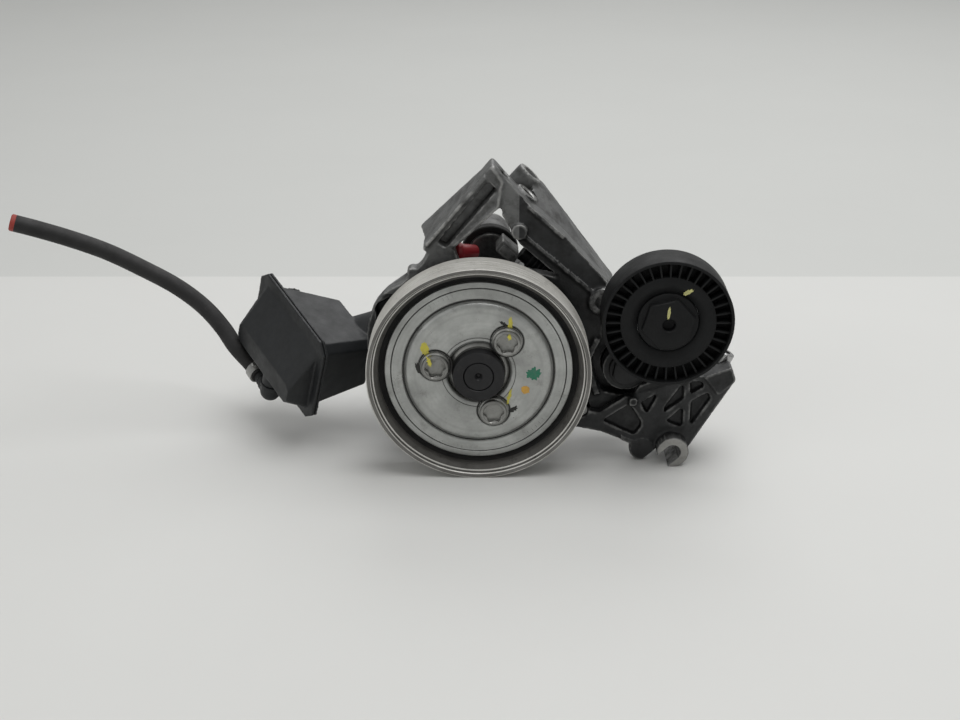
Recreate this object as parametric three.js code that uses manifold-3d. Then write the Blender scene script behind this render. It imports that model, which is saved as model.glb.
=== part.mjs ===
// Belt-driven power-steering pump group: vane pump with a three-screw belt pulley, cast
// brackets, a welded fluid reservoir with its hose, and a sprung belt tensioner.
// Millimetres. The pump axis runs along Y at X = 0, Z = 0 and the pulley's front rim is the
// plane Y = 0. The outermost group then moves the origin to the middle of the footprint.
import * as THREE from 'three';
import { mergeVertices } from 'three/addons/utils/BufferGeometryUtils.js';
import Module from 'manifold-3d';

const wasm = await Module();
wasm.setup();

// ---- driving dimensions ----
const GAP = 0.3;                 // clearance between two pieces that touch
const FLOOR_Z = -57;             // the surface that the group stands on
const RIM_R = 57;                // main pulley
const RIM_WIDTH = 19;
const RIM_BORE_R = 51;
const RIB_PITCH = 3.56;
const RIB_COUNT = 5;
const DISC_R = 47.8;
const DISC_FRONT = 6.5;
const SCREW_HOLE_R = 4.5;
const HUB_R = 13.2;
const SHAFT_NOSE_R = 7.6;
const SHAFT_R = 8.4;
const SCREW_CIRCLE_R = 22.2;
const SCREW_ANGLES = [50, 170, 290];
const BALL_COUNT = 8;            // pump shaft bearing
const BALL_R = 2.5;
const BALL_CIRCLE_R = 12.65;
const BARREL_R = 33;             // pump housing
const CAVITY_R = 28;
const INSERT_R = 27.3;           // plates and ring that drop into the cavity
const MOUNT_CIRCLE_R = 42;       // bolts that hold the housing to the bracket
const COVER_CIRCLE_R = 34.5;     // bolts that hold the rear cover
const HOUSING_BACK = 92;
const VANE_COUNT = 8;
const VALVE_X = 6;               // flow valve bore, parallel to the pump axis
const VALVE_Z = 46;
const IDLER_X = 94.6;            // belt tensioner
const IDLER_Z = 27.7;
const IDLER_R = 33;
const IDLER_FRONT = 0.5;
const IDLER_BACK = 20.5;
const IDLER_RIBS = 36;
const IDLER_BALLS = 8;
const PIVOT_X = 76.5;
const PIVOT_Z = -7;
const PLATE_FRONT = 28;          // main bracket
const PLATE_BACK = 36;
const WEB_FRONT = 22;            // side bracket
const WEB_BACK = 27.7;
const HOOK_X = 101.4;            // slotted boss of the side bracket
const HOOK_R = 8.2;
const REAR_BOSS_X = 86;
const REAR_BOSS_R = 6.6;
const HOSE_R = 4.6;
const M6_HOLE_R = 3.5;           // clearance holes
const M8_HOLE_R = 4.6;
const EAR = [63.7, 30.1];        // bolt ear at the end of the bracket's right arm
const EAR_HOLE_R = 4.2;
const BEARING_BORE_R = 11.1;     // outer radius of both inner races
const BEARING_SHELL_R = 14.2;    // bore radius of both outer races
const SHAFT_BEARING = [28.5, 39.5];
const IDLER_BEARING = [6.4, 17.6];
const COVER_BACK = 100.5;
const MOUNT_SEAT = 46;
const FACET_SHARE = 0.5;         // of the facet counts named at each turned piece

// ---- materials ----
const finish = (color, roughness, metalness) =>
  new THREE.MeshStandardMaterial({ color, roughness, metalness });
const CAST = finish(0x8d8f90, 0.55, 0.85);
const CAST_DARK = finish(0x4a4c4e, 0.6, 0.75);
const PLATED = finish(0xb9bbb8, 0.35, 0.95);
const WORN_STEEL = finish(0x8f8c86, 0.45, 0.9);
const STEEL = finish(0x9b9c9d, 0.3, 1);
const BLACK_STEEL = finish(0x1d1d1f, 0.5, 0.7);
const BLACK_PLASTIC = finish(0x1b1c1d, 0.65, 0);
const RESERVOIR_PLASTIC = finish(0x222426, 0.7, 0);
const RUBBER = finish(0x141414, 0.85, 0);
const RED_PLASTIC = finish(0xa3262c, 0.5, 0);

// ---- shape helpers ----
const DEG = Math.PI / 180;
const vec = (x, y, z) => new THREE.Vector3(x, y, z);

/** A closed geometry as a solid that can be joined and cut. */
function solid(geometry) {
  const bare = new THREE.BufferGeometry();
  bare.setAttribute('position', geometry.getAttribute('position').clone());
  if (geometry.index) bare.setIndex(geometry.index.clone());
  const merged = mergeVertices(bare, 1e-4);
  const corner = merged.index.array;
  const place = merged.getAttribute('position');
  const triangles = [];
  let volume = 0;
  for (let i = 0; i < corner.length; i += 3) {
    const [a, b, c] = [corner[i], corner[i + 1], corner[i + 2]];
    if (a === b || b === c || c === a) continue;
    triangles.push(a, b, c);
    const [p, q, r] = [a, b, c].map((k) => vec().fromBufferAttribute(place, k));
    volume += p.dot(q.cross(r));
  }
  if (volume < 0) triangles.reverse();
  return new wasm.Manifold(new wasm.Mesh({
    numProp: 3,
    vertProperties: Float32Array.from(place.array),
    triVerts: Uint32Array.from(triangles),
  }));
}

const join = (...parts) => parts.reduce((whole, part) => whole.add(part));
const cut = (whole, ...tools) => tools.reduce((rest, tool) => rest.subtract(tool), whole);

/** Facets round a turned piece: round stock is drawn coarsely, a hexagon keeps its six. */
const facets = (count) => (count <= 8 ? count : 2 * Math.round((count * FACET_SHARE) / 2));

/** Profile of [radius, y] turned about the Y axis. */
function turned(profile, segments = 40) {
  const points = profile.map(([r, y]) => new THREE.Vector2(r, y));
  return solid(new THREE.LatheGeometry(points, facets(segments)));
}

function rod(radius, y0, y1, segments = 32, x = 0, z = 0) {
  const geometry = new THREE.CylinderGeometry(radius, radius, y1 - y0, facets(segments));
  return solid(geometry.translate(x, (y0 + y1) / 2, z));
}

function tube(inner, outer, y0, y1, segments = 32) {
  return turned([[inner, y0], [outer, y0], [outer, y1], [inner, y1], [inner, y0]], segments);
}

function box(x0, x1, y0, y1, z0, z1) {
  const geometry = new THREE.BoxGeometry(x1 - x0, y1 - y0, z1 - z0);
  return solid(geometry.translate((x0 + x1) / 2, (y0 + y1) / 2, (z0 + z1) / 2));
}

function hexagon(acrossFlats, y0, y1) {
  return rod(acrossFlats / Math.sqrt(3), y0, y1, 6);
}

/** Outline of [x, z, corner radius] seen from the front, as a shape with rounded corners. */
function outline(points) {
  const shape = new THREE.Shape();
  points.forEach(([x, z, radius = 0], i) => {
    const here = new THREE.Vector2(x, z);
    const before = points[(i + points.length - 1) % points.length];
    const after = points[(i + 1) % points.length];
    const toBefore = new THREE.Vector2(before[0], before[1]).sub(here).normalize();
    const toAfter = new THREE.Vector2(after[0], after[1]).sub(here).normalize();
    const start = here.clone().addScaledVector(toBefore, radius);
    const end = here.clone().addScaledVector(toAfter, radius);
    if (i === 0) shape.moveTo(start.x, start.y);
    else shape.lineTo(start.x, start.y);
    if (radius) shape.quadraticCurveTo(x, z, end.x, end.y);
  });
  shape.closePath();
  return shape;
}

/** Front-view outline made into a plate between two depths. */
function plate(points, y0, y1) {
  const geometry = new THREE.ExtrudeGeometry(outline(points), {
    depth: y1 - y0,
    bevelEnabled: false,
    curveSegments: 3,
  });
  return solid(geometry.rotateX(Math.PI / 2).translate(0, y1, 0));
}

/** Closed solid between two convex rings of points with equal counts. */
function loft(ringA, ringB) {
  const count = ringA.length;
  const positions = [...ringA, ...ringB].flatMap((p) => p.toArray());
  const index = [];
  for (let i = 1; i < count - 1; i += 1) {
    index.push(0, i + 1, i);
    index.push(count, count + i, count + i + 1);
  }
  for (let i = 0; i < count; i += 1) {
    const j = (i + 1) % count;
    index.push(i, j, count + i);
    index.push(j, count + j, count + i);
  }
  const geometry = new THREE.BufferGeometry();
  geometry.setAttribute('position', new THREE.Float32BufferAttribute(positions, 3));
  geometry.setIndex(index);
  return solid(geometry);
}

/** Front-view points at one depth. */
const ring = (points, y) => points.map(([x, z]) => vec(x, y, z));

/** Wall between a front-view outline at one depth and a second one further back. */
const wall = (front, y0, back, y1) => loft(ring(front, y0), ring(back, y1));
const straightWall = (points, y0, y1) => wall(points, y0, points, y1);

/** Moves a solid that was built along +Y so that its origin and its Y axis go elsewhere. */
function aim(part, origin, direction) {
  const turn = new THREE.Quaternion().setFromUnitVectors(
    vec(0, 1, 0),
    direction.clone().normalize(),
  );
  const matrix = new THREE.Matrix4().compose(origin, turn, vec(1, 1, 1));
  return part.transform(matrix.elements);
}

const shift = (part, x, y, z) => part.translate([x, y, z]);
const turnY = (part, degrees) => part.rotate([0, degrees, 0]);
const polar = (radius, degrees) =>
  [radius * Math.cos(degrees * DEG), radius * Math.sin(degrees * DEG)];

const assembly = new THREE.Group();

/** Adds a finished solid to the assembly as one named mesh. */
function add(name, part, material) {
  const data = part.getMesh();
  const geometry = new THREE.BufferGeometry();
  geometry.setAttribute('position', new THREE.BufferAttribute(data.vertProperties, 3));
  geometry.setIndex(new THREE.BufferAttribute(data.triVerts, 1));
  geometry.computeVertexNormals();
  const mesh = new THREE.Mesh(geometry, material);
  mesh.name = name;
  assembly.add(mesh);
  return mesh;
}

/** Ring along Y that clears the bearing balls, to be cut out of both races. */
const ballGroove = (radius, y) => turned([
  [BALL_CIRCLE_R - radius, y],
  [BALL_CIRCLE_R - radius * 0.7, y - radius * 0.7],
  [BALL_CIRCLE_R + radius * 0.7, y - radius * 0.7],
  [BALL_CIRCLE_R + radius, y],
  [BALL_CIRCLE_R + radius * 0.7, y + radius * 0.7],
  [BALL_CIRCLE_R - radius * 0.7, y + radius * 0.7],
  [BALL_CIRCLE_R - radius, y],
], 32);

/** Balls joined by their cage ring, around Y at the origin. */
function ballCage(count, y) {
  const balls = Array.from({ length: count }, (_, i) => {
    const [x, z] = polar(BALL_CIRCLE_R, (i * 360) / count);
    return solid(new THREE.SphereGeometry(BALL_R, 6, 4).translate(x, y, z));
  });
  return join(tube(BALL_CIRCLE_R - 0.9, BALL_CIRCLE_R + 0.9, y - 1.2, y + 1.2, 24), ...balls);
}

// ---- main pulley ----
function pulleyRim() {
  const valleyDepth = 2.9;
  const crestR = RIM_R - 0.9;
  const margin = (RIM_WIDTH - RIB_COUNT * RIB_PITCH) / 2;
  const profile = [[RIM_R - 1.2, 0], [RIM_R, 0.5], [RIM_R, margin]];
  for (let i = 0; i < RIB_COUNT; i += 1) {
    const start = margin + i * RIB_PITCH;
    profile.push([crestR - valleyDepth, start + RIB_PITCH / 2]);
    profile.push([i < RIB_COUNT - 1 ? crestR : RIM_R - 1, start + RIB_PITCH]);
  }
  profile.push([RIM_R - 1, RIM_WIDTH], [RIM_BORE_R + 0.6, RIM_WIDTH], [RIM_BORE_R + 0.6, 15]);
  profile.push([RIM_BORE_R, 15], [RIM_BORE_R, DISC_FRONT], [52.6, 2.2], [54.6, 0.3], [RIM_R - 1.2, 0]);
  return turned(profile, 80);
}

const screwHole = (angle) => rod(SCREW_HOLE_R, 0, 20, 16, ...polar(SCREW_CIRCLE_R, angle));

function pulleyDisc() {
  const back = DISC_FRONT + 3.4;
  const body = turned([
    [16.1, 6.6], [16.9, 5.1], [18.4, 4.6], [35.6, 4.6], [37.7, 5.6], [38.4, 6.9],
    [39.4, DISC_FRONT], [DISC_R - 0.6, DISC_FRONT], [DISC_R, DISC_FRONT + 0.6],
    [DISC_R, 14.5], [43.5, 14.5], [43.5, back], [16.1, back], [16.1, 6.6],
  ], 56);
  const holes = SCREW_ANGLES.map(screwHole);
  return cut(body, ...holes);
}

function pulleyHub() {
  const body = turned([
    [SHAFT_NOSE_R + GAP, -1.2], [HUB_R - 0.8, -1.2], [HUB_R, -0.4], [HUB_R, 10.4],
    [31, 10.4], [31, 16], [14, 16], [14, 18], [SHAFT_NOSE_R + GAP, 18],
    [SHAFT_NOSE_R + GAP, -1.2],
  ], 40);
  const holes = SCREW_ANGLES.map(screwHole);
  return cut(body, ...holes);
}

function pumpShaft() {
  return turned([
    [0, 0.8], [1.4, 0.8], [2, -1], [SHAFT_NOSE_R - 0.4, -1], [SHAFT_NOSE_R, -0.6],
    [SHAFT_NOSE_R, 19], [SHAFT_R, 19.4], [SHAFT_R, 52], [7, 52.5], [7, 86], [0, 86], [0, 0.8],
  ], 32);
}

function pulleyScrew(angle) {
  const [x, z] = polar(SCREW_CIRCLE_R, angle);
  const head = turned([
    [0, 2.6], [4.2, 2.6], [5, 0.6], [6.4, 0.6], [7.2, 1.4], [7.7, 3.6], [7.7, 4.3], [3.9, 4.3],
    [3.9, 15.6], [0, 15.6], [0, 2.6],
  ], 24);
  return shift(head, x, 0, z);
}

add('pulley_rim', pulleyRim(), WORN_STEEL);
add('pulley_rubber_ring', tube(DISC_R + GAP, RIM_BORE_R - 0.5, 7.2, 14.8, 56), RUBBER);
add('pulley_disc', pulleyDisc(), PLATED);
add('pulley_hub', pulleyHub(), BLACK_STEEL);
add('pump_shaft', pumpShaft(), BLACK_STEEL);
SCREW_ANGLES.forEach((angle, i) => add(`pulley_screw_${i + 1}`, pulleyScrew(angle), PLATED));

// ---- rotor and vanes ----
const SLOT_INNER_R = 10.5;
const ROTOR_R = 16.5;
const VANE_TIP_R = 17.8;
const rotorSlots = Array.from({ length: VANE_COUNT }, (_, i) =>
  turnY(box(SLOT_INNER_R, ROTOR_R + 1, 55, 80, -1.2, 1.2), (i * 360) / VANE_COUNT));
add('pump_rotor', cut(tube(7.3, ROTOR_R, 58.8, 75.6, 32), ...rotorSlots), STEEL);
for (let i = 0; i < VANE_COUNT; i += 1) {
  const vane = box(SLOT_INNER_R + 0.5, VANE_TIP_R, 59, 75.4, -0.9, 0.9);
  add(`vane_${i + 1}`, turnY(vane, (i * 360) / VANE_COUNT), STEEL);
}

// ---- where the reservoir sits ----
// The weld seam is a rectangle: one corner, its long and short edge, and its normal, which
// points at the pump.
const SEAM_CORNER = vec(-77.6, 22, 6.1);
const LONG_EDGE = vec(-0.531, 0.765, 0.365).normalize();
const SHORT_EDGE = vec(-0.212, 0.297, -0.931);
SHORT_EDGE.addScaledVector(LONG_EDGE, -SHORT_EDGE.dot(LONG_EDGE)).normalize();
const TO_PUMP = SHORT_EDGE.clone().cross(LONG_EDGE).normalize();
const SEAM_LENGTH = 71;
const SEAM_WIDTH = 53;
const SEAM_THICK = 1.7;
const TUB_WALL = 2.2;
const REAR_DEPTH = 35;

const seamPoint = (along, across, out) => SEAM_CORNER.clone()
  .addScaledVector(LONG_EDGE, along)
  .addScaledVector(SHORT_EDGE, across)
  .addScaledVector(TO_PUMP, out);

// The neck joins the rear half to the pump's inlet boss.
const NECK_ROOT = seamPoint(29, 28, REAR_DEPTH - 2);
const NECK_END = vec(-37, 66, 3);
const neckAxis = NECK_END.clone().sub(NECK_ROOT);
const neckLength = neckAxis.length();
const NECK_R = 12.5;
const NECK_BORE_R = 9;
const INLET_DEPTH = 16;

// ---- pump housing, its internals and cover ----
const earAngles = [45, 135, 225, 315];
const mountAngles = [130, 215, 345];
const footBack = 91;

function foot(x0, x1) {
  return join(
    box(x0, x1, 78, footBack, FLOOR_Z, FLOOR_Z + 6),
    box(x0 + 3, x1 - 3, 80, footBack - 2, FLOOR_Z + 3, -18),
  );
}

function pumpHousing() {
  const barrel = turned([
    [0, 27], [20.5, 27], [21.5, 28], [21.5, 36.3], [30, 36.3], [30, 43], [BARREL_R, 46],
    [BARREL_R, HOUSING_BACK], [0, HOUSING_BACK], [0, 27],
  ], 40);
  const ears = earAngles.map((angle) => rod(5.5, 70, HOUSING_BACK, 16, ...polar(COVER_CIRCLE_R, angle)));
  const lugs = mountAngles.map((angle) => {
    const [x, z] = polar(MOUNT_CIRCLE_R, angle);
    return join(
      rod(7.5, 36.3, MOUNT_SEAT, 20, x, z),
      turnY(box(20, MOUNT_CIRCLE_R, 36.3, MOUNT_SEAT, -7, 7), -angle),
    );
  });
  const valve = join(
    rod(11.5, 55, HOUSING_BACK, 28, VALVE_X, VALVE_Z),
    box(VALVE_X - 9, VALVE_X + 9, 60, 90, 22, VALVE_Z),
  );
  // The inlet boss stands square to the reservoir neck, which ends just short of it.
  const inlet = aim(rod(NECK_R, GAP - 1, INLET_DEPTH, 24), NECK_END, neckAxis);
  const body = join(barrel, ...ears, ...lugs, valve, inlet, foot(-37, -20), foot(18, 35));
  return cut(
    body,
    aim(rod(NECK_BORE_R, -2, 9, 24), NECK_END, neckAxis),
    rod(17.3, 20, 40.3, 32),
    rod(12.3, 40, 48.5, 28),
    rod(SHAFT_R + 0.6, 40, 60, 28),
    rod(CAVITY_R, 52, 100, 40),
    rod(7.6, 60, 100, 24, VALVE_X, VALVE_Z),
    rod(4, 50, 62, 16, VALVE_X, VALVE_Z),
    ...earAngles.map((angle) => rod(M6_HOLE_R, 78, 100, 16, ...polar(COVER_CIRCLE_R, angle))),
    ...mountAngles.map((angle) => rod(M8_HOLE_R, 30, 50, 16, ...polar(MOUNT_CIRCLE_R, angle))),
  );
}

function rearCover() {
  const body = turned([
    [0, 82.6], [26, 82.6], [INSERT_R, 84], [INSERT_R, HOUSING_BACK + GAP],
    [BARREL_R, HOUSING_BACK + GAP], [BARREL_R, 98], [BARREL_R - 2.5, COVER_BACK], [16, COVER_BACK],
    [14, 102.5], [0, 102.5], [0, 82.6],
  ], 40);
  const ears = earAngles.map((angle) =>
    rod(5.5, HOUSING_BACK + GAP, COVER_BACK, 16, ...polar(COVER_CIRCLE_R, angle)));
  return cut(
    join(body, ...ears),
    rod(10, 80, 88, 24),
    ...earAngles.map((angle) => rod(M6_HOLE_R, 80, 110, 16, ...polar(COVER_CIRCLE_R, angle))),
  );
}

function headedBolt(acrossFlats, shankR, length, headHeight) {
  return join(
    hexagon(acrossFlats, 0, headHeight),
    rod(shankR, headHeight - 1, headHeight + length, 16),
  );
}

/** Bolt whose head faces the back, at a front-view place, seated at the depth given. */
const backBolt = (acrossFlats, shankR, length, headHeight, x, z, seat) =>
  aim(headedBolt(acrossFlats, shankR, length, headHeight), vec(x, seat + headHeight, z),
    vec(0, -1, 0));

function camRing() {
  const bore = new THREE.CylinderGeometry(1, 1, 40, 24).scale(18.2, 1, 20.5).translate(0, 70, 0);
  return cut(rod(INSERT_R, 58.5, 75.9, 40), solid(bore));
}

add('pump_housing', pumpHousing(), CAST);
add('rear_cover', rearCover(), CAST);
earAngles.forEach((angle, i) => {
  const [x, z] = polar(COVER_CIRCLE_R, angle);
  add(`cover_bolt_${i + 1}`, backBolt(10, 3, 18, 5, x, z, COVER_BACK + GAP), STEEL);
});
mountAngles.forEach((angle, i) => {
  const [x, z] = polar(MOUNT_CIRCLE_R, angle);
  add(`pump_bolt_${i + 1}`, backBolt(13, 4, 16, 7, x, z, MOUNT_SEAT + GAP), STEEL);
});
const shaftBearingY = (SHAFT_BEARING[0] + SHAFT_BEARING[1]) / 2;
const groove = ballGroove(BALL_R + GAP, shaftBearingY);
add('bearing_outer_race', cut(tube(BEARING_SHELL_R, 17, ...SHAFT_BEARING, 32), groove), STEEL);
add('bearing_inner_race', cut(tube(SHAFT_R + GAP, BEARING_BORE_R, ...SHAFT_BEARING, 32), groove), STEEL);
add('bearing_ball_cage', ballCage(BALL_COUNT, shaftBearingY), STEEL);
add('shaft_seal', tube(SHAFT_R + GAP, 12, 41, 48, 28), RUBBER);
add('front_pressure_plate', tube(SHAFT_R + 0.6, INSERT_R, 53, 58.2, 40), STEEL);
add('cam_ring', camRing(), STEEL);
add('rear_pressure_plate', tube(7.4, INSERT_R, 76.2, 82.2, 40), STEEL);

// ---- flow control valve ----
const spoolProfile = [
  [0, 72], [6, 72], [7.2, 73], [7.2, 77], [5, 77.6], [5, 82], [7.2, 82.6], [7.2, 91.5], [0, 91.5],
  [0, 72],
];

/** Coil spring of round wire along Y, starting at the origin. */
function coil(radius, wireR, length, turns, steps) {
  const points = Array.from({ length: steps + 1 }, (_, i) => {
    const along = i / steps;
    const [x, z] = polar(radius, along * turns * 360);
    return vec(x, along * length, z);
  });
  const section = new THREE.Shape(
    Array.from({ length: 5 }, (_, i) => new THREE.Vector2(...polar(wireR, i * 72))));
  return solid(new THREE.ExtrudeGeometry(section, {
    steps,
    bevelEnabled: false,
    extrudePath: new THREE.CatmullRomCurve3(points),
  }));
}

add('valve_spool', shift(turned(spoolProfile, 24), VALVE_X, 0, VALVE_Z), STEEL);
add('valve_plug', shift(join(rod(7.2, 92.2, 95, 24), rod(10.5, 94, 95.6, 28),
  hexagon(16, 95, 101)), VALVE_X, 0, VALVE_Z), STEEL);

// ---- outlet fitting, transport plug and pipe in the bracket window ----
const outletBlock = plate([[8.5, 53.2, 1], [12.5, 58.5, 1], [21, 50.8, 1], [17.5, 45, 1]], 40, 54.6);
add('outlet_block', outletBlock, CAST);
const PIPE_START = vec(22.3, 46, 50.6);
const PIPE_END = vec(52, 46, 26);
const pipeAxis = PIPE_END.clone().sub(PIPE_START);
add('outlet_pipe', aim(turned([
  [0, 0], [4.2, 0], [4.2, 5], [5.2, 6], [5.2, pipeAxis.length()], [0, pipeAxis.length()], [0, 0],
], 24), PIPE_START, pipeAxis), RUBBER);
add('valve_band', shift(tube(11.9, 15.4, 56, 62, 28), VALVE_X, 0, VALVE_Z)
  .subtract(box(-30, 40, 50, 70, 0, 50)), RUBBER);
add('transport_plug', aim(turned([
  [0, -6], [3.6, -5], [4.6, 4], [6, 5], [6, 7.6], [5, 8.6], [0, 8.6], [0, -6],
], 20), vec(-6.5, 46, 50.5), vec(-0.55, -0.35, 0.1)), RED_PLASTIC);

// ---- main bracket ----
const ARM_NORMAL = vec(0.68, 0, 0.73);   // the way that the machined bosses face
const FRONT_BOSS = vec(25.4, 40, 84.4);
const BACK_BOSS = vec(27, 57, 90);
const SIDE_BOLTS = [[37, -32], [54, -29]];   // where the side bracket joins the main one

function mainBracket() {
  const leftArm = plate([
    [2.4, 97.2, 1], [6.8, 102.6, 2], [24.4, 82.6], [17, 73], [8.6, 81.4, 1], [-14.5, 60, 2],
    [-20, 50], [-28.5, 58],
  ], PLATE_FRONT, 42);
  const slot = plate([[4.2, 93.2, 1], [9.2, 89.2, 1], [-16.6, 58.4, 2], [-20.6, 61.6, 1]], 20, 36);
  const rightArm = plate([
    [24.4, 82.6], [43.6, 65.2], [66, 40], [58, 28.5], [38.5, 45], [20.6, 60.6, 2], [11.5, 76],
  ], PLATE_FRONT, 38);
  const rightWall = wall(
    [[24.4, 82.6], [67, 38.5], [63, 35], [20.6, 78.6]], 36,
    [[32, 85], [71.5, 32], [67.5, 28.6], [28.4, 81]], 64,
  );
  const leftWall = loft(
    ring([[3, 98], [6.6, 95], [-23.6, 57], [-27.4, 60]], 38),
    [vec(5, 43, 99), vec(8.6, 43, 96), vec(-26.6, 60, 56.5), vec(-30.6, 60, 60.5)],
  );
  const rearFrame = plate([
    [24, 80, 3], [32, 85, 3], [71.5, 32, 3], [62, 24], [26.5, 70, 4], [20, 72, 3],
  ], 58, 62);
  const frontBoss = aim(rod(6.3, -15, 0, 20), FRONT_BOSS, ARM_NORMAL);
  const backBoss = aim(rod(7, -16, 0, 20), BACK_BOSS, ARM_NORMAL);
  const smallBoss = rod(4.2, 25.5, 40, 16, 20.5, 67.5);
  const pumpPlate = plate([
    [-24, 60, 2], [-28, 51, 2], [-39, 39.5, 3], [-47.5, 35.5, 4], [-53.5, 28, 4], [-57.5, 16, 3],
    [-58, 2, 4], [-46, -18, 6], [-24, -38, 8], [6, -44, 8], [40, -42, 4], [56, -38, 3],
    [84, -45, 4], [92, -34, 4], [78, -23, 3], [64, -20, 3], [58.5, -3, 4], [64, 9, 2], [64, 24],
    [51, 35, 3], [40, 43, 4], [26, 46, 4], [10, 44, 4], [-8, 46, 4], [-13, 60],
  ], PLATE_FRONT, PLATE_BACK);
  const lugPocket = plate([[-53, 28, 2], [-44, 33, 3], [-38, 26, 3], [-52, 8, 3]], 20, 33);
  const lugTop = wall(
    [[-31, 47.6], [-47, 35.2], [-45, 31], [-28, 44]], 35,
    [[-31, 45], [-47.4, 33], [-45, 30], [-28, 42]], 43,
  );
  const bump = rod(3, PLATE_FRONT, PLATE_BACK, 16, -33.5, 45);
  const ear = rod(7.5, 25, 64, 24, ...EAR);
  const cuff = straightWall([[57.5, -4], [63, 9], [60, 10], [54.5, -3]], 26, PLATE_BACK);
  const cuffLow = straightWall([[57.5, -3], [54.5, -4], [60.5, -22], [63.5, -21]], 26, PLATE_BACK);
  const body = join(leftArm, rightArm, rightWall, leftWall, rearFrame, frontBoss, backBoss, smallBoss,
    pumpPlate, lugTop, bump, ear, cuff, cuffLow);
  const apexPocket = aim(box(-2.8, 2.8, -6, 4, -4, 4), vec(12.6, 35.5, 96), ARM_NORMAL);
  return cut(
    body,
    slot,
    lugPocket,
    apexPocket,
    rod(21.9, 10, 60, 36),
    aim(rod(3.6, -40, 4, 16), FRONT_BOSS, ARM_NORMAL),
    aim(rod(4.3, -40, 4, 16), BACK_BOSS, ARM_NORMAL),
    rod(EAR_HOLE_R, 20, 80, 16, ...EAR),
    ...mountAngles.map((angle) => rod(M8_HOLE_R, 20, 50, 16, ...polar(MOUNT_CIRCLE_R, angle))),
    ...SIDE_BOLTS.map(([x, z]) => rod(M8_HOLE_R, 20, 50, 16, x, z)),
  );
}

// ---- side bracket ----
const DOWEL_AXIS = vec(0.43, 0, 0.9);
const DOWEL_SEAT = vec(127.6, 38, -8.5);

function sideBracket() {
  const web = plate([
    [30, -24, 3], [30, -34, 3], [52, -38.5], [64, -41], [75, -45.5, 2], [93, -52.5, 1],
    [106, -56.6, 2], [111, -49.5, 1], [133.6, -11.5, 2], [131, -4, 1], [117, -9.5, 1], [106, -10],
    [97, -15, 2], [79, -20.5, 1], [76, -21, 1], [63, -30],
  ], WEB_FRONT, WEB_BACK);
  const pocket = (points) => plate(points, WEB_FRONT - 4, WEB_FRONT + 3.6);
  const pockets = [
    pocket([[110, -12.5, 1], [116, -12.5, 1], [117.5, -15, 1], [110.3, -19.5, 1]]),
    pocket([[106.8, -12.5, 1], [106.8, -22, 1], [96.5, -30.5, 1], [97, -27, 1]]),
    pocket([[111, -23.5, 1], [119.5, -18.5, 1], [121, -22, 1], [110.8, -38.5, 1]]),
    pocket([[107, -26.5, 1], [107, -38.5, 1], [98, -35, 1]]),
    pocket([[65, -34.5, 1], [79, -25, 1], [86, -36.5, 2], [82, -43, 2]]),
    pocket([[84.5, -24.5, 1], [94, -18.5, 1], [88, -31, 1]]),
  ];
  const rightFlange = straightWall(
    [[111, -49.5], [133.6, -11.5], [130.6, -10], [108.4, -48]],
    WEB_FRONT, 44,
  );
  const lowerFlange = straightWall(
    [[75, -45.5], [93, -52.4], [92, -49.5], [75, -42.5]],
    WEB_FRONT - 1.2, PLATE_FRONT - 0.4,
  );
  const topFlange = straightWall([[117, -9.5], [131, -4], [132, -8], [118.5, -13.5]], WEB_FRONT, 46);
  const pad = plate([[117, -9.5, 1], [131, -4, 1], [133.6, -11.5, 1], [124.6, -19.5, 1]], 20.8, 40);
  const dowelSeat = plate([[118, -15], [122, -5.8, 1], [133, -11, 1], [133, -13]], 32, 46);
  const ridge = rod(2.6, 19.5, 24, 8, 80.5, -23);
  const hook = rod(HOOK_R, 13, 42, 28, HOOK_X, FLOOR_Z + HOOK_R);
  const rearBoss = rod(REAR_BOSS_R, 21, WEB_BACK, 24, REAR_BOSS_X, FLOOR_Z + REAR_BOSS_R);
  const mouth = new THREE.BoxGeometry(20, 60, 8.6).translate(-10, 0, 0)
    .rotateY(-42 * DEG).translate(HOOK_X, 30, FLOOR_Z + HOOK_R);
  const body = join(web, rightFlange, lowerFlange, topFlange, pad, dowelSeat, ridge, rearBoss);
  return cut(
    join(cut(body, ...pockets), hook),
    rod(4.3, 5, 60, 20, HOOK_X, FLOOR_Z + HOOK_R),
    solid(mouth),
    aim(rod(3.6, -12, 20, 16), DOWEL_SEAT, DOWEL_AXIS),
    aim(rod(6, 0, 12, 20), DOWEL_SEAT, DOWEL_AXIS),
    ...SIDE_BOLTS.map(([x, z]) => rod(3.4, 10, 50, 16, x, z)),
  );
}

add('main_bracket', mainBracket(), CAST);
add('side_bracket', sideBracket(), CAST_DARK);
SIDE_BOLTS.forEach(([x, z], i) =>
  add(`bracket_bolt_${i + 1}`, backBolt(13, 3.1, 13, 7, x, z, PLATE_BACK + GAP), STEEL));
const dowelBush = join(rod(3.1, -8, 1, 20), tube(2, 4.4, GAP, 7, 24));
add('dowel_bush', aim(dowelBush, DOWEL_SEAT, DOWEL_AXIS), STEEL);

// ---- belt tensioner ----
const CASE_R = 21;
const atIdler = (part) => shift(part, IDLER_X, 0, IDLER_Z);
const atPivot = (part) => shift(part, PIVOT_X, 0, PIVOT_Z);

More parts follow.
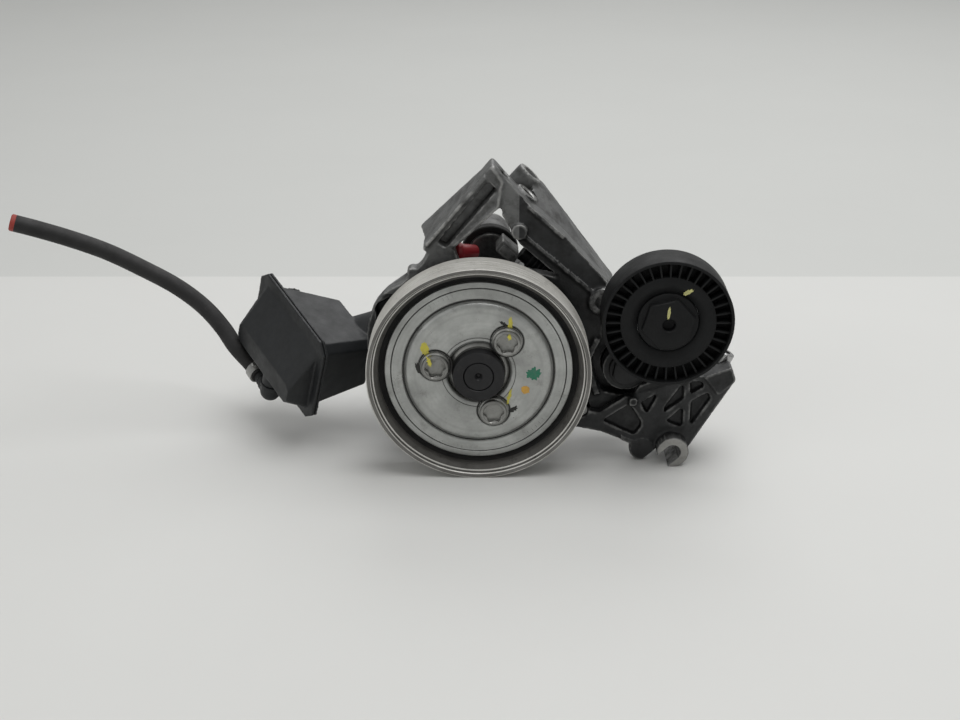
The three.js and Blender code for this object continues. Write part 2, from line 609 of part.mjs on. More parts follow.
function idlerPulley() {
  const shell = turned([
    [31.4, IDLER_FRONT], [32.4, IDLER_FRONT], [IDLER_R, 1.2], [IDLER_R, 19.8], [32.4, IDLER_BACK],
    [31.4, IDLER_BACK], [31.4, 12], [24.1, 12], [24.1, 18.5], [17.8, 18.5], [17.8, 5.4],
    [15.5, 4.6], [15.5, 3.6], [19, 2.2], [23.4, 2.2], [24.1, 2.9], [24.1, 10], [31.4, 10],
    [31.4, IDLER_FRONT],
  ], 72);
  const ribs = Array.from({ length: IDLER_RIBS }, (_, i) =>
    turnY(box(23.6, 31.9, 1.6, 11, -0.55, 0.55), (i * 360) / IDLER_RIBS));
  return join(shell, ...ribs);
}

function idlerBolt() {
  return cut(join(
    hexagon(24, -1.2, 5),
    rod(15, 3.2, 5, 36),
    rod(8.6, 4, 6, 24),
    rod(5.8, 5, 27, 20),
  ), rod(3.2, -3, 3, 16));
}

function tensionerArm() {
  const length = Math.hypot(IDLER_X - PIVOT_X, IDLER_Z - PIVOT_Z);
  const side = vec(-(IDLER_Z - PIVOT_Z), 0, IDLER_X - PIVOT_X).divideScalar(length);
  const beamPoint = (x, z, reach) => [x + side.x * reach, z + side.z * reach];
  const beam = plate([
    beamPoint(PIVOT_X, PIVOT_Z, 11.5), beamPoint(PIVOT_X, PIVOT_Z, -11.5),
    beamPoint(IDLER_X, IDLER_Z, -10), beamPoint(IDLER_X, IDLER_Z, 10),
  ], 27, 34);
  const body = join(
    beam,
    atPivot(rod(12, 27, 36, 28)),
    atIdler(rod(12, 24, 34, 28)),
    atIdler(rod(8.6, 18, 25, 24)),
  );
  return cut(body, atPivot(rod(5.3, 10, 50, 20)), atIdler(rod(6.1, 10, 50, 20)));
}

function tensionerCase() {
  return turned([
    [5.4, 36.4], [8, 36.4], [8, 55], [CASE_R - 3, 55], [CASE_R - 3, 36.4], [CASE_R, 36.4],
    [CASE_R, 58], [CASE_R - 1.5, 59.5], [5.4, 59.5], [5.4, 36.4],
  ], 36);
}

const idlerBearingY = (IDLER_BEARING[0] + IDLER_BEARING[1]) / 2;
const idlerGroove = ballGroove(BALL_R + GAP, idlerBearingY);
add('idler_pulley', atIdler(idlerPulley()), BLACK_PLASTIC);
const idlerOuterRace = cut(tube(BEARING_SHELL_R, 17.5, ...IDLER_BEARING, 32), idlerGroove);
const idlerInnerRace = cut(tube(6.1, BEARING_BORE_R, ...IDLER_BEARING, 32), idlerGroove);
add('idler_outer_race', atIdler(idlerOuterRace), STEEL);
add('idler_inner_race', atIdler(idlerInnerRace), STEEL);
add('idler_ball_cage', atIdler(ballCage(IDLER_BALLS, idlerBearingY)), STEEL);
add('idler_bolt', atIdler(idlerBolt()), BLACK_STEEL);
add('tensioner_arm', tensionerArm(), CAST_DARK);
add('tensioner_case', atPivot(tensionerCase()), CAST_DARK);
add('tensioner_spring', atPivot(shift(coil(13, 1.6, 12, 3, 36), 0, 39.5, 0)), STEEL);
add('tensioner_pivot_bolt', atPivot(join(hexagon(13, 21.2, 26), rod(8.6, 25, 26.7, 24),
  rod(4.9, 26, 59, 20))), BLACK_STEEL);

// ---- reservoir ----
/** Rectangle with cut corners in a plane parallel to the seam. */
function seamRing([along0, along1, across0, across1], out, corner) {
  return [
    [along0 + corner, across0], [along1 - corner, across0], [along1, across0 + corner],
    [along1, across1 - corner], [along1 - corner, across1], [along0 + corner, across1],
    [along0, across1 - corner], [along0, across0 + corner],
  ].map(([along, across]) => seamPoint(along, across, out));
}

const inset = ([a0, a1, c0, c1], by) => [a0 + by, a1 - by, c0 + by, c1 - by];
const SEAM_RECT = [0, SEAM_LENGTH, 0, SEAM_WIDTH];
const TUB_BASE = [5.5, SEAM_LENGTH - 5.5, 5.5, SEAM_WIDTH - 4.5];

/** One half of the reservoir: a welded flange and a tapering tub, hollow from the seam. */
function tub(side, endRect, depth, corner) {
  const flange = loft(
    seamRing(SEAM_RECT, side * GAP / 2, 6),
    seamRing(SEAM_RECT, side * SEAM_THICK, 6),
  );
  const shell = loft(
    seamRing(TUB_BASE, side * SEAM_THICK / 2, corner),
    seamRing(endRect, side * depth, corner),
  );
  const hollow = loft(
    seamRing(inset(TUB_BASE, TUB_WALL), 0, corner),
    seamRing(inset(endRect, TUB_WALL), side * (depth - TUB_WALL), corner),
  );
  return { shell: join(flange, shell), hollow };
}

const FRONT_END = [6.5, SEAM_LENGTH - 7, 28.6, 41];
const FRONT_DEPTH = 15;
const REAR_END = [8, 50, 12.5, 45.5];
const frontHalf = tub(-1, FRONT_END, FRONT_DEPTH, 3);
const rearHalf = tub(1, REAR_END, REAR_DEPTH, 4);

const neck = (radius, from, to) =>
  aim(rod(radius, from, to, 24), NECK_ROOT, neckAxis);

// Spout for the hose under the front half, and the filler neck on the far end.
const SPOUT_OUT = -9.6;
const SPOUT_LENGTH = 5;
const SPOUT_ROOT = seamPoint(31, 42, SPOUT_OUT);

add('reservoir_front', cut(
  join(frontHalf.shell, aim(rod(5.4, -3, SPOUT_LENGTH, 20), SPOUT_ROOT, SHORT_EDGE)),
  frontHalf.hollow,
  aim(rod(3, -6, 10, 16), SPOUT_ROOT, SHORT_EDGE),
), RESERVOIR_PLASTIC);

const FILLER_ROOT = seamPoint(50, 33, 16);
const fillerNeck = aim(rod(11.5, 0, 17, 28), FILLER_ROOT, LONG_EDGE);
add('reservoir_rear', cut(
  join(rearHalf.shell, neck(NECK_R, -4, neckLength - 1), fillerNeck),
  rearHalf.hollow,
  neck(NECK_BORE_R, -8, neckLength + 5),
  aim(rod(9.3, -4, 20, 24), FILLER_ROOT, LONG_EDGE),
), RESERVOIR_PLASTIC);

add('reservoir_cap', aim(join(
  rod(8.8, 10, 18, 24),
  rod(13.4, 17.3, 22, 32),
  box(-11, 11, 21, 25, -2.2, 2.2),
), FILLER_ROOT, LONG_EDGE), BLACK_PLASTIC);

// ---- return hose ----
const ELBOW = seamPoint(31, 52.9, SPOUT_OUT);
const NIPPLE_LENGTH = 12;
const hoseStart = ELBOW.clone().addScaledVector(LONG_EDGE, NIPPLE_LENGTH + GAP);
const hosePoint = (length) => ELBOW.clone().addScaledVector(LONG_EDGE, length);
const HOSE_PATH = [
  hoseStart, hosePoint(21.5), vec(-133.4, 74, -13.6), vec(-140.5, 78, -4), vec(-150, 81, 6.5),
  vec(-164, 82, 18), vec(-182.5, 82, 29), vec(-201, 81, 39), vec(-219.5, 80, 46.5),
  vec(-237.5, 78, 53), vec(-248, 76.5, 56.5),
];

add('hose_elbow', join(
  aim(rod(5.6, SPOUT_LENGTH + GAP, 10.2, 20), SPOUT_ROOT, SHORT_EDGE),
  solid(new THREE.SphereGeometry(5.6, 12, 8).translate(ELBOW.x, ELBOW.y, ELBOW.z)),
  aim(rod(3.6, 0, NIPPLE_LENGTH, 16), ELBOW, LONG_EDGE),
), BLACK_PLASTIC);

const hoseRoute = new THREE.CatmullRomCurve3(HOSE_PATH);
const hoseSection = new THREE.Shape(
  Array.from({ length: 10 }, (_, i) => new THREE.Vector2(...polar(HOSE_R, i * 36))));
add('hose', solid(new THREE.ExtrudeGeometry(hoseSection, {
  steps: 20,
  bevelEnabled: false,
  extrudePath: hoseRoute,
})), RUBBER);
const clampAt = NIPPLE_LENGTH + 1.5;
add('hose_clamp', aim(tube(HOSE_R + 0.4, HOSE_R + 1, clampAt, clampAt + 5, 24), ELBOW, LONG_EDGE),
  STEEL);
const hoseEndAxis = hoseRoute.getTangent(1);
add('hose_end_plug', aim(cut(rod(3.7, GAP, 2.6, 20), rod(1.7, 1.2, 4, 16)),
  HOSE_PATH[HOSE_PATH.length - 1], hoseEndAxis), RED_PLASTIC);

// ---- origin: middle of the footprint, without the hose and what is on it ----
const ON_THE_HOSE = ['hose', 'hose_clamp', 'hose_end_plug'];
const origin = new THREE.Box3();
assembly.updateMatrixWorld(true);
assembly.children
  .filter((mesh) => !ON_THE_HOSE.includes(mesh.name))
  .forEach((mesh) => origin.expandByObject(mesh, true));
const middle = origin.getCenter(vec());
assembly.position.set(-middle.x, -middle.y, -origin.min.z);

const root = new THREE.Group();
root.add(assembly);
export default root;
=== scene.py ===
"""Looks of a belt-driven pump group: pump, brackets, belt tensioner, reservoir and hose.

Shapes are built in millimetres with the pump axis along Y at X = 0, Z = 0 and the pulley's
front rim on Y = 0, and place() then takes each finished mesh to the frame, in metres.
"""
import math

import bmesh
import bpy
from mathutils import Euler, Matrix, Vector, noise


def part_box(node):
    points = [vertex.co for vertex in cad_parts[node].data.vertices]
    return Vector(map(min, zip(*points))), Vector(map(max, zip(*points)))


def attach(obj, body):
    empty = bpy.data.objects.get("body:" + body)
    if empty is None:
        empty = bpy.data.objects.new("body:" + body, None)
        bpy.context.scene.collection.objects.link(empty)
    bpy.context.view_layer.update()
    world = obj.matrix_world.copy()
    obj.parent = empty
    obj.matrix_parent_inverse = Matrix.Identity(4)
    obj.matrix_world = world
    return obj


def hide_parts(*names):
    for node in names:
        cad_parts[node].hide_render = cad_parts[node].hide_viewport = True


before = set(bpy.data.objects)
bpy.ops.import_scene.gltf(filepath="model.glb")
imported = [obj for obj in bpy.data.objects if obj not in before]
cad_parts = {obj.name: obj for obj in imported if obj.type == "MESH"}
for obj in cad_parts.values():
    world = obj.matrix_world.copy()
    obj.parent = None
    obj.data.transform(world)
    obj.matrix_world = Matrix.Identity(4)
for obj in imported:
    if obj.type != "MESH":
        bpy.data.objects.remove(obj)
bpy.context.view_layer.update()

MM = 0.001
rim_low, rim_high = (Vector(corner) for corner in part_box("pulley_rim"))
PUMP_ORIGIN = Vector(((rim_low.x + rim_high.x) / 2, rim_low.y, (rim_low.z + rim_high.z) / 2))
TO_FRAME = Matrix.Translation(PUMP_ORIGIN) @ Matrix.Scale(MM, 4)
FROM_FRAME = TO_FRAME.inverted()
FLOOR_Z = -PUMP_ORIGIN.z / MM

# ---- the two bodies that most pieces ride on ----
PUMP = "pump_group"
ROTOR = "pulley_and_rotor"

# ---- dimensions shared by several pieces, in millimetres ----
RIM_R = 57
RIM_WIDTH = 19
RIB_PITCH = 3.56
RIB_COUNT = 5
DISC_R = 47.8
DISC_FRONT = 6.5
HUB_R = 13.2
SHAFT_NOSE_R = 7.6
SHAFT_R = 8.4
SCREW_CIRCLE_R = 22.2
SCREW_ANGLES = (50, 170, 290)
SCREW_HOLE_R = 4.5
BARREL_R = 33
CAVITY_R = 28
HOUSING_BACK = 92
COVER_BACK = 100.5
COVER_CIRCLE_R = 34.5
COVER_EAR_R = 5.5
COVER_ANGLES = (45, 135, 225, 315)
MOUNT_CIRCLE_R = 42
MOUNT_ANGLES = (130, 215, 345)
MOUNT_SEAT = 46.3
MOUNT_LUG_R = 7.5
VALVE_X, VALVE_Z = 6, 46
VALVE_R = 11.5
IDLER_X, IDLER_Z = 94.6, 27.7
IDLER_R = 33
IDLER_FRONT, IDLER_BACK = 0.5, 20.5
IDLER_RIBS = 36
PIVOT_X, PIVOT_Z = 76.5, -7
ARM_BOSS_R = 12
PLATE_FRONT, PLATE_BACK = 28, 36
SIDE_BOLTS = ((37, -32), (54, -29))
M8_HOLE_R = 4.6
HOOK_X, HOOK_R, HOOK_BORE_R = 101.4, 8.2, 4.3
HOOK_FACE = 13.2
IDLER_HEXAGON = 24
ELBOW_R = 5.6
RAIL_HEIGHT = 1.4
REAR_BOSS_X, REAR_BOSS_R = 86, 6.6
ARM_NORMAL = Vector((0.68, 0, 0.73)).normalized()   # the way that the machined bosses face
FRONT_BOSS = Vector((25.4, 40, 84.4))
BACK_BOSS = Vector((27, 57, 90))
EAR = Vector((63.7, 0, 30.1))
DOWEL_AXIS = Vector((0.43, 0, 0.9)).normalized()
DOWEL_SEAT = Vector((127.6, 38, -8.5))
HOSE_R = 4.6
SHARP_ANGLE = 32   # degrees between faces that keep a crisp edge
WELD = 1e-4   # points closer than this are one point


def linked(name, data):
    """New object for a mesh, camera or light, in the scene."""
    obj = bpy.data.objects.new(name, data)
    bpy.context.collection.objects.link(obj)
    return obj


# ---- camera, first, so that the hose can be measured against its view ----
CAMERA_AT = Vector((0.7, -742, 313.2))
CAMERA_PITCH = math.radians(22.3)
CAMERA_LENS = 60
CAMERA_SENSOR = 36

camera_data = bpy.data.cameras.new("camera")
camera_data.lens = CAMERA_LENS
camera_data.sensor_width = CAMERA_SENSOR
camera = linked("camera", camera_data)
camera.location = TO_FRAME @ CAMERA_AT
camera.rotation_euler = Euler((math.pi / 2 - CAMERA_PITCH, 0, 0))
bpy.context.scene.camera = camera


# ---- solids, each an object in pump millimetres ----
def rework(mesh, *steps):
    """Runs each step on the mesh, as a bmesh."""
    work = bmesh.new()
    work.from_mesh(mesh)
    for step in steps:
        step(work)
    work.to_mesh(mesh)
    work.free()


def weld(work):
    bmesh.ops.remove_doubles(work, verts=work.verts, dist=WELD)


def face_outwards(work):
    bmesh.ops.recalc_face_normals(work, faces=work.faces)


def drop_slivers(work):
    bmesh.ops.dissolve_degenerate(work, edges=work.edges, dist=WELD)


def new_solid(vertices, faces):
    mesh = bpy.data.meshes.new("solid")
    mesh.from_pydata([tuple(v) for v in vertices], [], faces)
    obj = linked("solid", mesh)
    rework(mesh, weld, face_outwards)
    return obj


def wire_faces(rings, sides):
    """Faces of a wire whose vertices are rings of points: two caps, then the skin."""
    last = (rings - 1) * sides
    faces = [tuple(range(sides)), tuple(range(last, last + sides))]
    for start in range(0, last, sides):
        for k in range(sides):
            n = (k + 1) % sides
            faces.append((start + k, start + n, start + sides + n, start + sides + k))
    return faces


def polar(radius, degrees):
    angle = math.radians(degrees)
    return radius * math.cos(angle), radius * math.sin(angle)


def turned(profile, segments=96):
    """Profile of (radius, y) that closes on itself or on the axis, turned about Y."""
    vertices = []
    faces = []
    count = len(profile)
    for i in range(segments):
        for radius, y in profile:
            x, z = polar(radius, 360 * i / segments)
            vertices.append((x, y, z))
    for i in range(segments):
        j = (i + 1) % segments
        for k in range(count - 1):
            faces.append((i * count + k, i * count + k + 1, j * count + k + 1, j * count + k))
    obj = new_solid(vertices, faces)
    rework(obj.data, drop_slivers)
    return obj


def rod(radius, y0, y1, segments=64, x=0, z=0, chamfer=0):
    obj = turned([(0, y0), (radius - chamfer, y0), (radius, y0 + chamfer),
                  (radius, y1 - chamfer), (radius - chamfer, y1), (0, y1)], segments)
    return centred(obj, x, z)


def rods(radius, y0, y1, segments, circle_r, angles):
    """A rod at each angle of a circle round the pump axis."""
    return [rod(radius, y0, y1, segments, *polar(circle_r, angle)) for angle in angles]


def tube(inner, outer, y0, y1, segments=96, chamfer=0):
    return turned([(inner, y0), (outer - chamfer, y0), (outer, y0 + chamfer),
                   (outer, y1 - chamfer), (outer - chamfer, y1), (inner, y1), (inner, y0)],
                  segments)


def box(x0, x1, y0, y1, z0, z1):
    return plate([(x0, z0), (x1, z0), (x1, z1), (x0, z1)], y0, y1)


def rounded(points, steps=5):
    """Outline of (x, z, corner radius) with its corners replaced by curves."""
    outline = []
    for i, point in enumerate(points):
        here = Vector(point[:2])
        radius = point[2] if len(point) > 2 else 0
        if not radius:
            outline.append(here)
            continue
        before = Vector(points[i - 1][:2])
        after = Vector(points[(i + 1) % len(points)][:2])
        start = here + (before - here).normalized() * radius
        end = here + (after - here).normalized() * radius
        for k in range(steps + 1):
            t = k / steps
            outline.append(start * (1 - t) ** 2 + here * 2 * t * (1 - t) + end * t * t)
    return outline


def plate(points, y0, y1):
    """Front-view outline made into a plate between two depths."""
    outline = rounded(points)
    count = len(outline)
    vertices = [(p[0], y, p[1]) for y in (y0, y1) for p in outline]
    faces = [tuple(range(count)), tuple(range(count, 2 * count))]
    faces += [(i, (i + 1) % count, count + (i + 1) % count, count + i) for i in range(count)]
    return new_solid(vertices, faces)


def hexagon(across_flats, y0, y1):
    """Hexagon along Y whose corners are turned off at the y0 end."""
    flat = across_flats / 2
    corner = across_flats / math.sqrt(3)
    chamfer_slope = 0.62
    prism = plate([polar(corner, 60 * i) for i in range(6)], y0, y1)
    drop = (corner - flat) * chamfer_slope
    cone = turned([(0, y0), (flat * 0.96, y0), (corner + 0.1, y0 + drop),
                   (corner + 0.1, y1 + 1), (0, y1 + 1)], 72)
    return combine(prism, [cone], "INTERSECT")


def six_lobe(radius, y0, y1):
    """Six-lobed socket as a prism."""
    lobe = 0.1 * radius
    points = [polar(radius - lobe + lobe * math.cos(math.radians(6 * a)), a)
              for a in range(0, 360, 5)]
    return plate(points, y0, y1)


def moved(obj, offset):
    obj.data.transform(Matrix.Translation(offset))
    return obj


def centred(obj, x, z):
    """Built about the pump axis, and moved to a parallel one."""
    return moved(obj, Vector((x, 0, z)))


def turned_by(obj, degrees):
    """Turned about the pump axis, anticlockwise as seen from the front."""
    obj.data.transform(Matrix.Rotation(math.radians(-degrees), 4, "Y"))
    return obj


def aimed(obj, at, direction):
    """Built along +Y, and moved so that its origin and its Y axis go elsewhere."""
    turn = Vector((0, 1, 0)).rotation_difference(Vector(direction).normalized())
    obj.data.transform(Matrix.Translation(at) @ turn.to_matrix().to_4x4())
    return obj


def applied(obj):
    depsgraph = bpy.context.evaluated_depsgraph_get()
    mesh = bpy.data.meshes.new_from_object(obj.evaluated_get(depsgraph))
    obj.modifiers.clear()
    obj.data = mesh
    return obj


def combine(base, tools, operation):
    for tool in tools:
        modifier = base.modifiers.new("combine", "BOOLEAN")
        modifier.operation = operation
        modifier.solver = "MANIFOLD"
        modifier.object = tool
    applied(base)
    for tool in tools:
        bpy.data.objects.remove(tool)
    return base


def join(base, *tools):
    return combine(base, tools, "UNION")


def cut(base, *tools):
    return combine(base, tools, "DIFFERENCE")


def heap(*parts):
    """Several solids in one mesh, as they are."""
    work = bmesh.new()
    for part in parts:
        work.from_mesh(part.data)
    work.to_mesh(parts[0].data)
    work.free()
    for part in parts[1:]:
        bpy.data.objects.remove(part)
    return parts[0]


def from_node(node):
    """Copy of a CAD node's shape, in pump millimetres."""
    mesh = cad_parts[node].data.copy()
    mesh.transform(FROM_FRAME)
    obj = linked("solid", mesh)
    rework(mesh, weld)
    return obj


def softened(obj, voxel, rounds, roughness):
    """Union of the heap with cast fillets at its edges, and an uneven skin."""
    remesh = obj.modifiers.new("remesh", "REMESH")
    remesh.mode = "VOXEL"
    remesh.voxel_size = voxel
    smooth = obj.modifiers.new("smooth", "SMOOTH")
    smooth.factor = 0.5
    smooth.iterations = rounds
    applied(obj)
    broad, fine = 0.16, 0.55   # waves per millimetre
    vertices = obj.data.vertices
    skin = []
    for here, normal in [(v.co.copy(), v.normal.copy()) for v in vertices]:
        wave = noise.noise(here * broad) + 0.5 * noise.noise(here * fine)
        skin.extend(here + normal * wave * roughness)
    vertices.foreach_set("co", skin)
    return obj


def bevelled(obj, width=0.3, segments=2, angle=SHARP_ANGLE):
    bevel = obj.modifiers.new("bevel", "BEVEL")
    bevel.width = width
    bevel.segments = segments
    bevel.limit_method = "ANGLE"
    bevel.angle_limit = math.radians(angle)
    return applied(obj)


def place(obj, name, body, materials, replaces=(), finish_of=None, angle=SHARP_ANGLE):
    """Finished piece: named, in the frame, shaded, riding, standing for its nodes.

    finish_of(centre, normal), in pump millimetres, gives each face its place in materials.
    """
    mesh = obj.data
    mesh.materials.clear()
    for material in materials:
        mesh.materials.append(material)
    for polygon in mesh.polygons:
        choice = finish_of(polygon.center, polygon.normal) if finish_of else 0
        polygon.material_index = int(choice)
    mesh.transform(TO_FRAME)
    mesh.shade_smooth()
    mesh.set_sharp_from_angle(angle=math.radians(angle))
    obj.name = name
    mesh.name = name
    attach(obj, body)
    if replaces:
        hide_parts(*replaces)


# ---- materials ----
class Look:
    """A procedural material under construction. Scales are features per metre."""

    def __init__(self, name, metallic=0.0):
        self.material = bpy.data.materials.new(name)
        self.material.use_nodes = True
        self.tree = self.material.node_tree
        self.shader = self.tree.nodes["Principled BSDF"]
        self.shader.inputs["Metallic"].default_value = metallic
        self.place = self.tree.nodes.new("ShaderNodeTexCoord").outputs["Object"]

    def link(self, output, socket):
        self.tree.links.new(output, socket)

    def noise(self, scale, detail=5, roughness=0.6, stretch=None):
        node = self.tree.nodes.new("ShaderNodeTexNoise")
        node.inputs["Scale"].default_value = scale
        node.inputs["Detail"].default_value = detail
        node.inputs["Roughness"].default_value = roughness
        source = self.place
        if stretch:
            mapping = self.tree.nodes.new("ShaderNodeMapping")
            mapping.inputs["Scale"].default_value = stretch
            self.link(source, mapping.inputs["Vector"])
            source = mapping.outputs["Vector"]
        self.link(source, node.inputs["Vector"])
        return node.outputs["Fac"]

    def cells(self, scale):
        node = self.tree.nodes.new("ShaderNodeTexVoronoi")
        node.inputs["Scale"].default_value = scale
        self.link(self.place, node.inputs["Vector"])
        return node.outputs["Distance"]

    def ramp(self, value, low, high, dark=0.0, bright=1.0):
        node = self.tree.nodes.new("ShaderNodeMapRange")
        node.inputs["From Min"].default_value = low
        node.inputs["From Max"].default_value = high
        node.inputs["To Min"].default_value = dark
        node.inputs["To Max"].default_value = bright
        self.link(value, node.inputs["Value"])
        return node.outputs["Result"]

    def math(self, kind, a, b):
        node = self.tree.nodes.new("ShaderNodeMath")
        node.operation = kind
        for socket, value in zip(node.inputs, (a, b)):
            if isinstance(value, (int, float)):
                socket.default_value = value
            else:
                self.link(value, socket)
        return node.outputs["Value"]

    def mix(self, share, a, b):
        """Colour between a and b, each a colour or an output."""
        node = self.tree.nodes.new("ShaderNodeMix")
        node.data_type = "RGBA"
        self.link(share, node.inputs["Factor"])
        # Inputs 6 and 7 and output 2 are the colour ones.
        for socket, value in ((node.inputs[6], a), (node.inputs[7], b)):
            if isinstance(value, tuple):
                socket.default_value = (*value, 1)
            else:
                self.link(value, socket)
        return node.outputs[2]

    def edges(self, low, high):
        """0 to 1 as pointiness goes from low to high. 0.5 is flat, more a ridge, less a hollow."""
        node = self.tree.nodes.new("ShaderNodeNewGeometry")
        return self.ramp(node.outputs["Pointiness"], low, high)

    def radius(self):
        """Distance from the pump axis, in metres."""
        split = self.tree.nodes.new("ShaderNodeSeparateXYZ")
        self.link(self.place, split.inputs["Vector"])
        across = self.math("SUBTRACT", split.outputs["X"], PUMP_ORIGIN.x)
        up = self.math("SUBTRACT", split.outputs["Z"], PUMP_ORIGIN.z)
        squares = self.math("ADD", self.math("MULTIPLY", across, across),
                            self.math("MULTIPLY", up, up))
        return self.math("SQRT", squares, 0)

    def turning_marks(self, scale):
        """Noise that only changes with the radius, as lathe marks do."""
        node = self.tree.nodes.new("ShaderNodeTexNoise")
        node.noise_dimensions = "1D"
        node.inputs["Scale"].default_value = scale
        node.inputs["Detail"].default_value = 3
        self.link(self.radius(), node.inputs["W"])
        return node.outputs["Fac"]

    def colour(self, output):
        self.link(output, self.shader.inputs["Base Color"])

    def roughness(self, output):
        self.link(output, self.shader.inputs["Roughness"])

    def bump(self, *layers):
        """Layers of (height output, depth in millimetres)."""
        normal = None
        for height, depth in layers:
            node = self.tree.nodes.new("ShaderNodeBump")
            node.inputs["Strength"].default_value = 1
            node.inputs["Distance"].default_value = depth * MM
            self.link(height, node.inputs["Height"])
            if normal:
                self.link(normal, node.inputs["Normal"])
            normal = node.outputs["Normal"]
        self.link(normal, self.shader.inputs["Normal"])


def cast_metal(name, pale, deep, grime, worn, metallic, rough):
    """Sand-cast alloy: grainy, stained, with painted shade in its corners, and rubbed on its
    ridges.
    """
    look = Look(name, metallic)
    stain = look.ramp(look.noise(38, 6, 0.62), 0.34, 0.66)
    skin = look.mix(stain, deep, pale)
    dirt = look.math("MULTIPLY", look.ramp(look.noise(95, 6, 0.7), 0.46, 0.68), 0.85)
    skin = look.mix(dirt, skin, grime)
    # Painted shade: hollows, where pointiness is low, are darkened to the grime colour.
    hollow = look.edges(0.49, 0.42)
    skin = look.mix(hollow, skin, grime)
    rubbed = look.math("MULTIPLY", look.edges(0.512, 0.556), look.ramp(look.noise(210), 0.35, 0.6))
    look.colour(look.mix(rubbed, skin, worn))
    look.roughness(look.ramp(look.noise(160), 0.3, 0.7, rough - 0.1, rough + 0.14))
    look.bump((look.noise(1500, 3), 0.09), (look.cells(800), 0.05), (look.noise(120, 4), 0.22))
    return look.material


def machined_metal(name, pale, deep, rough):
    """Milled face: fine parallel marks, with a few stains."""
    look = Look(name, 1.0)
    marks = look.noise(1, 3, 0.6, (40, 900, 900))
    stain = look.ramp(look.noise(120, 6), 0.3, 0.7)
    look.colour(look.mix(stain, deep, pale))
    look.roughness(look.ramp(marks, 0.3, 0.7, rough - 0.06, rough + 0.12))
    look.bump((marks, 0.03), (look.noise(700), 0.02))
    return look.material


def lathe_metal(name, pale, deep, grime, rough, metallic=1.0, dirt=0.5):
    """Turned or spun face: rings of tool marks about the pump axis, and stains."""
    look = Look(name, metallic)
    rings = look.turning_marks(2600)
    broad = look.turning_marks(420)
    stain = look.ramp(look.noise(52, 7, 0.66), 0.32, 0.68)
    skin = look.mix(stain, deep, pale)
    skin = look.mix(look.math("MULTIPLY", look.ramp(broad, 0.45, 0.75), 0.35), skin, deep)
    patches = look.math("MULTIPLY", look.ramp(look.noise(150, 8, 0.72), 0.56, 0.78), dirt)
    look.colour(look.mix(patches, skin, grime))
    look.roughness(look.ramp(look.noise(85, 6), 0.3, 0.7, rough - 0.08, rough + 0.16))
    look.bump((rings, 0.018), (look.noise(420, 5), 0.03))
    return look.material


def plastic(name, pale, deep, rough, grain=0.05, dust=(0.22, 0.22, 0.21), dusty=0.3,
            specular=0.42):
    """Moulded plastic or rubber: fine grain, scuffs and a film of dust on what faces up."""
    look = Look(name)
    look.shader.inputs["Specular IOR Level"].default_value = specular
    patch = look.ramp(look.noise(60, 5), 0.3, 0.7)
    skin = look.mix(patch, deep, pale)
    scuff = look.ramp(look.noise(1, 4, 0.7, (900, 130, 240)), 0.62, 0.8)
    skin = look.mix(look.math("MULTIPLY", scuff, dusty), skin, dust)
    geometry = look.tree.nodes.new("ShaderNodeNewGeometry")
    split = look.tree.nodes.new("ShaderNodeSeparateXYZ")
    look.link(geometry.outputs["Normal"], split.inputs["Vector"])
    facing_up = look.ramp(split.outputs["Z"], 0.2, 1.0)
    film = look.math("MULTIPLY", facing_up, look.ramp(look.noise(240, 6, 0.7), 0.3, 0.7))
    look.colour(look.mix(look.math("MULTIPLY", film, dusty), skin, dust))
    look.roughness(look.ramp(look.noise(130, 5), 0.3, 0.7, rough - 0.07, rough + 0.1))
    look.bump((look.noise(1900, 2), grain), (look.noise(260, 4), grain * 1.6))
    return look.material


def paint_dab(name, colour):
    """Marker paint: uneven, with the metal's grain through it."""
    look = Look(name)
    thin = tuple(0.7 * c + 0.04 for c in colour)
    look.colour(look.mix(look.ramp(look.noise(700, 5), 0.35, 0.65), thin, colour))
    look.roughness(look.ramp(look.noise(500), 0.3, 0.7, 0.35, 0.6))
    look.bump((look.noise(900, 4), 0.06))
    return look.material


CAST = cast_metal("cast_alloy", (0.17, 0.172, 0.17), (0.115, 0.117, 0.117),
                  (0.035, 0.034, 0.032), (0.4, 0.4, 0.39), 0.6, 0.46)
CAST_DARK = cast_metal("cast_alloy_oily", (0.034, 0.035, 0.036), (0.015, 0.0155, 0.016),
                       (0.006, 0.006, 0.006), (0.25, 0.25, 0.245), 0.4, 0.44)
CAST_PUMP = cast_metal("cast_alloy_pump", (0.15, 0.15, 0.148), (0.09, 0.09, 0.09),
                       (0.025, 0.024, 0.022), (0.32, 0.32, 0.31), 0.6, 0.5)
MILLED = machined_metal("milled_alloy", (0.42, 0.42, 0.41), (0.22, 0.22, 0.215), 0.38)
MILLED_OILY = machined_metal("milled_alloy_oily", (0.4, 0.395, 0.38), (0.18, 0.177, 0.17), 0.4)
ZINC = lathe_metal("zinc_plate", (0.49, 0.5, 0.485), (0.3, 0.305, 0.295), (0.1, 0.095, 0.08),
                   0.34, 0.8, dirt=0.6)
RIM_STEEL = lathe_metal("worn_rim_steel", (0.21, 0.205, 0.195), (0.13, 0.126, 0.118),
                        (0.04, 0.037, 0.032), 0.5, 0.5, dirt=0.7)
# Painted shade: a copy of the rim steel at half its brightness, with a little grime, for the rim's
# recessed inner cone.
SHADED_CONE_STEEL = lathe_metal("grimy_shaded_cone_steel", (0.105, 0.101, 0.094), (0.06, 0.057, 0.052),
                         (0.015, 0.014, 0.012), 0.6, 0.4, dirt=0.9)
BELT_STEEL = lathe_metal("belt_polished_steel", (0.66, 0.65, 0.62), (0.5, 0.49, 0.46),
                         (0.12, 0.11, 0.1), 0.45, 0.35)
SCREW_ZINC = lathe_metal("screw_zinc", (0.36, 0.36, 0.345), (0.18, 0.18, 0.17),
                         (0.05, 0.047, 0.042), 0.36, 0.9, dirt=0.8)
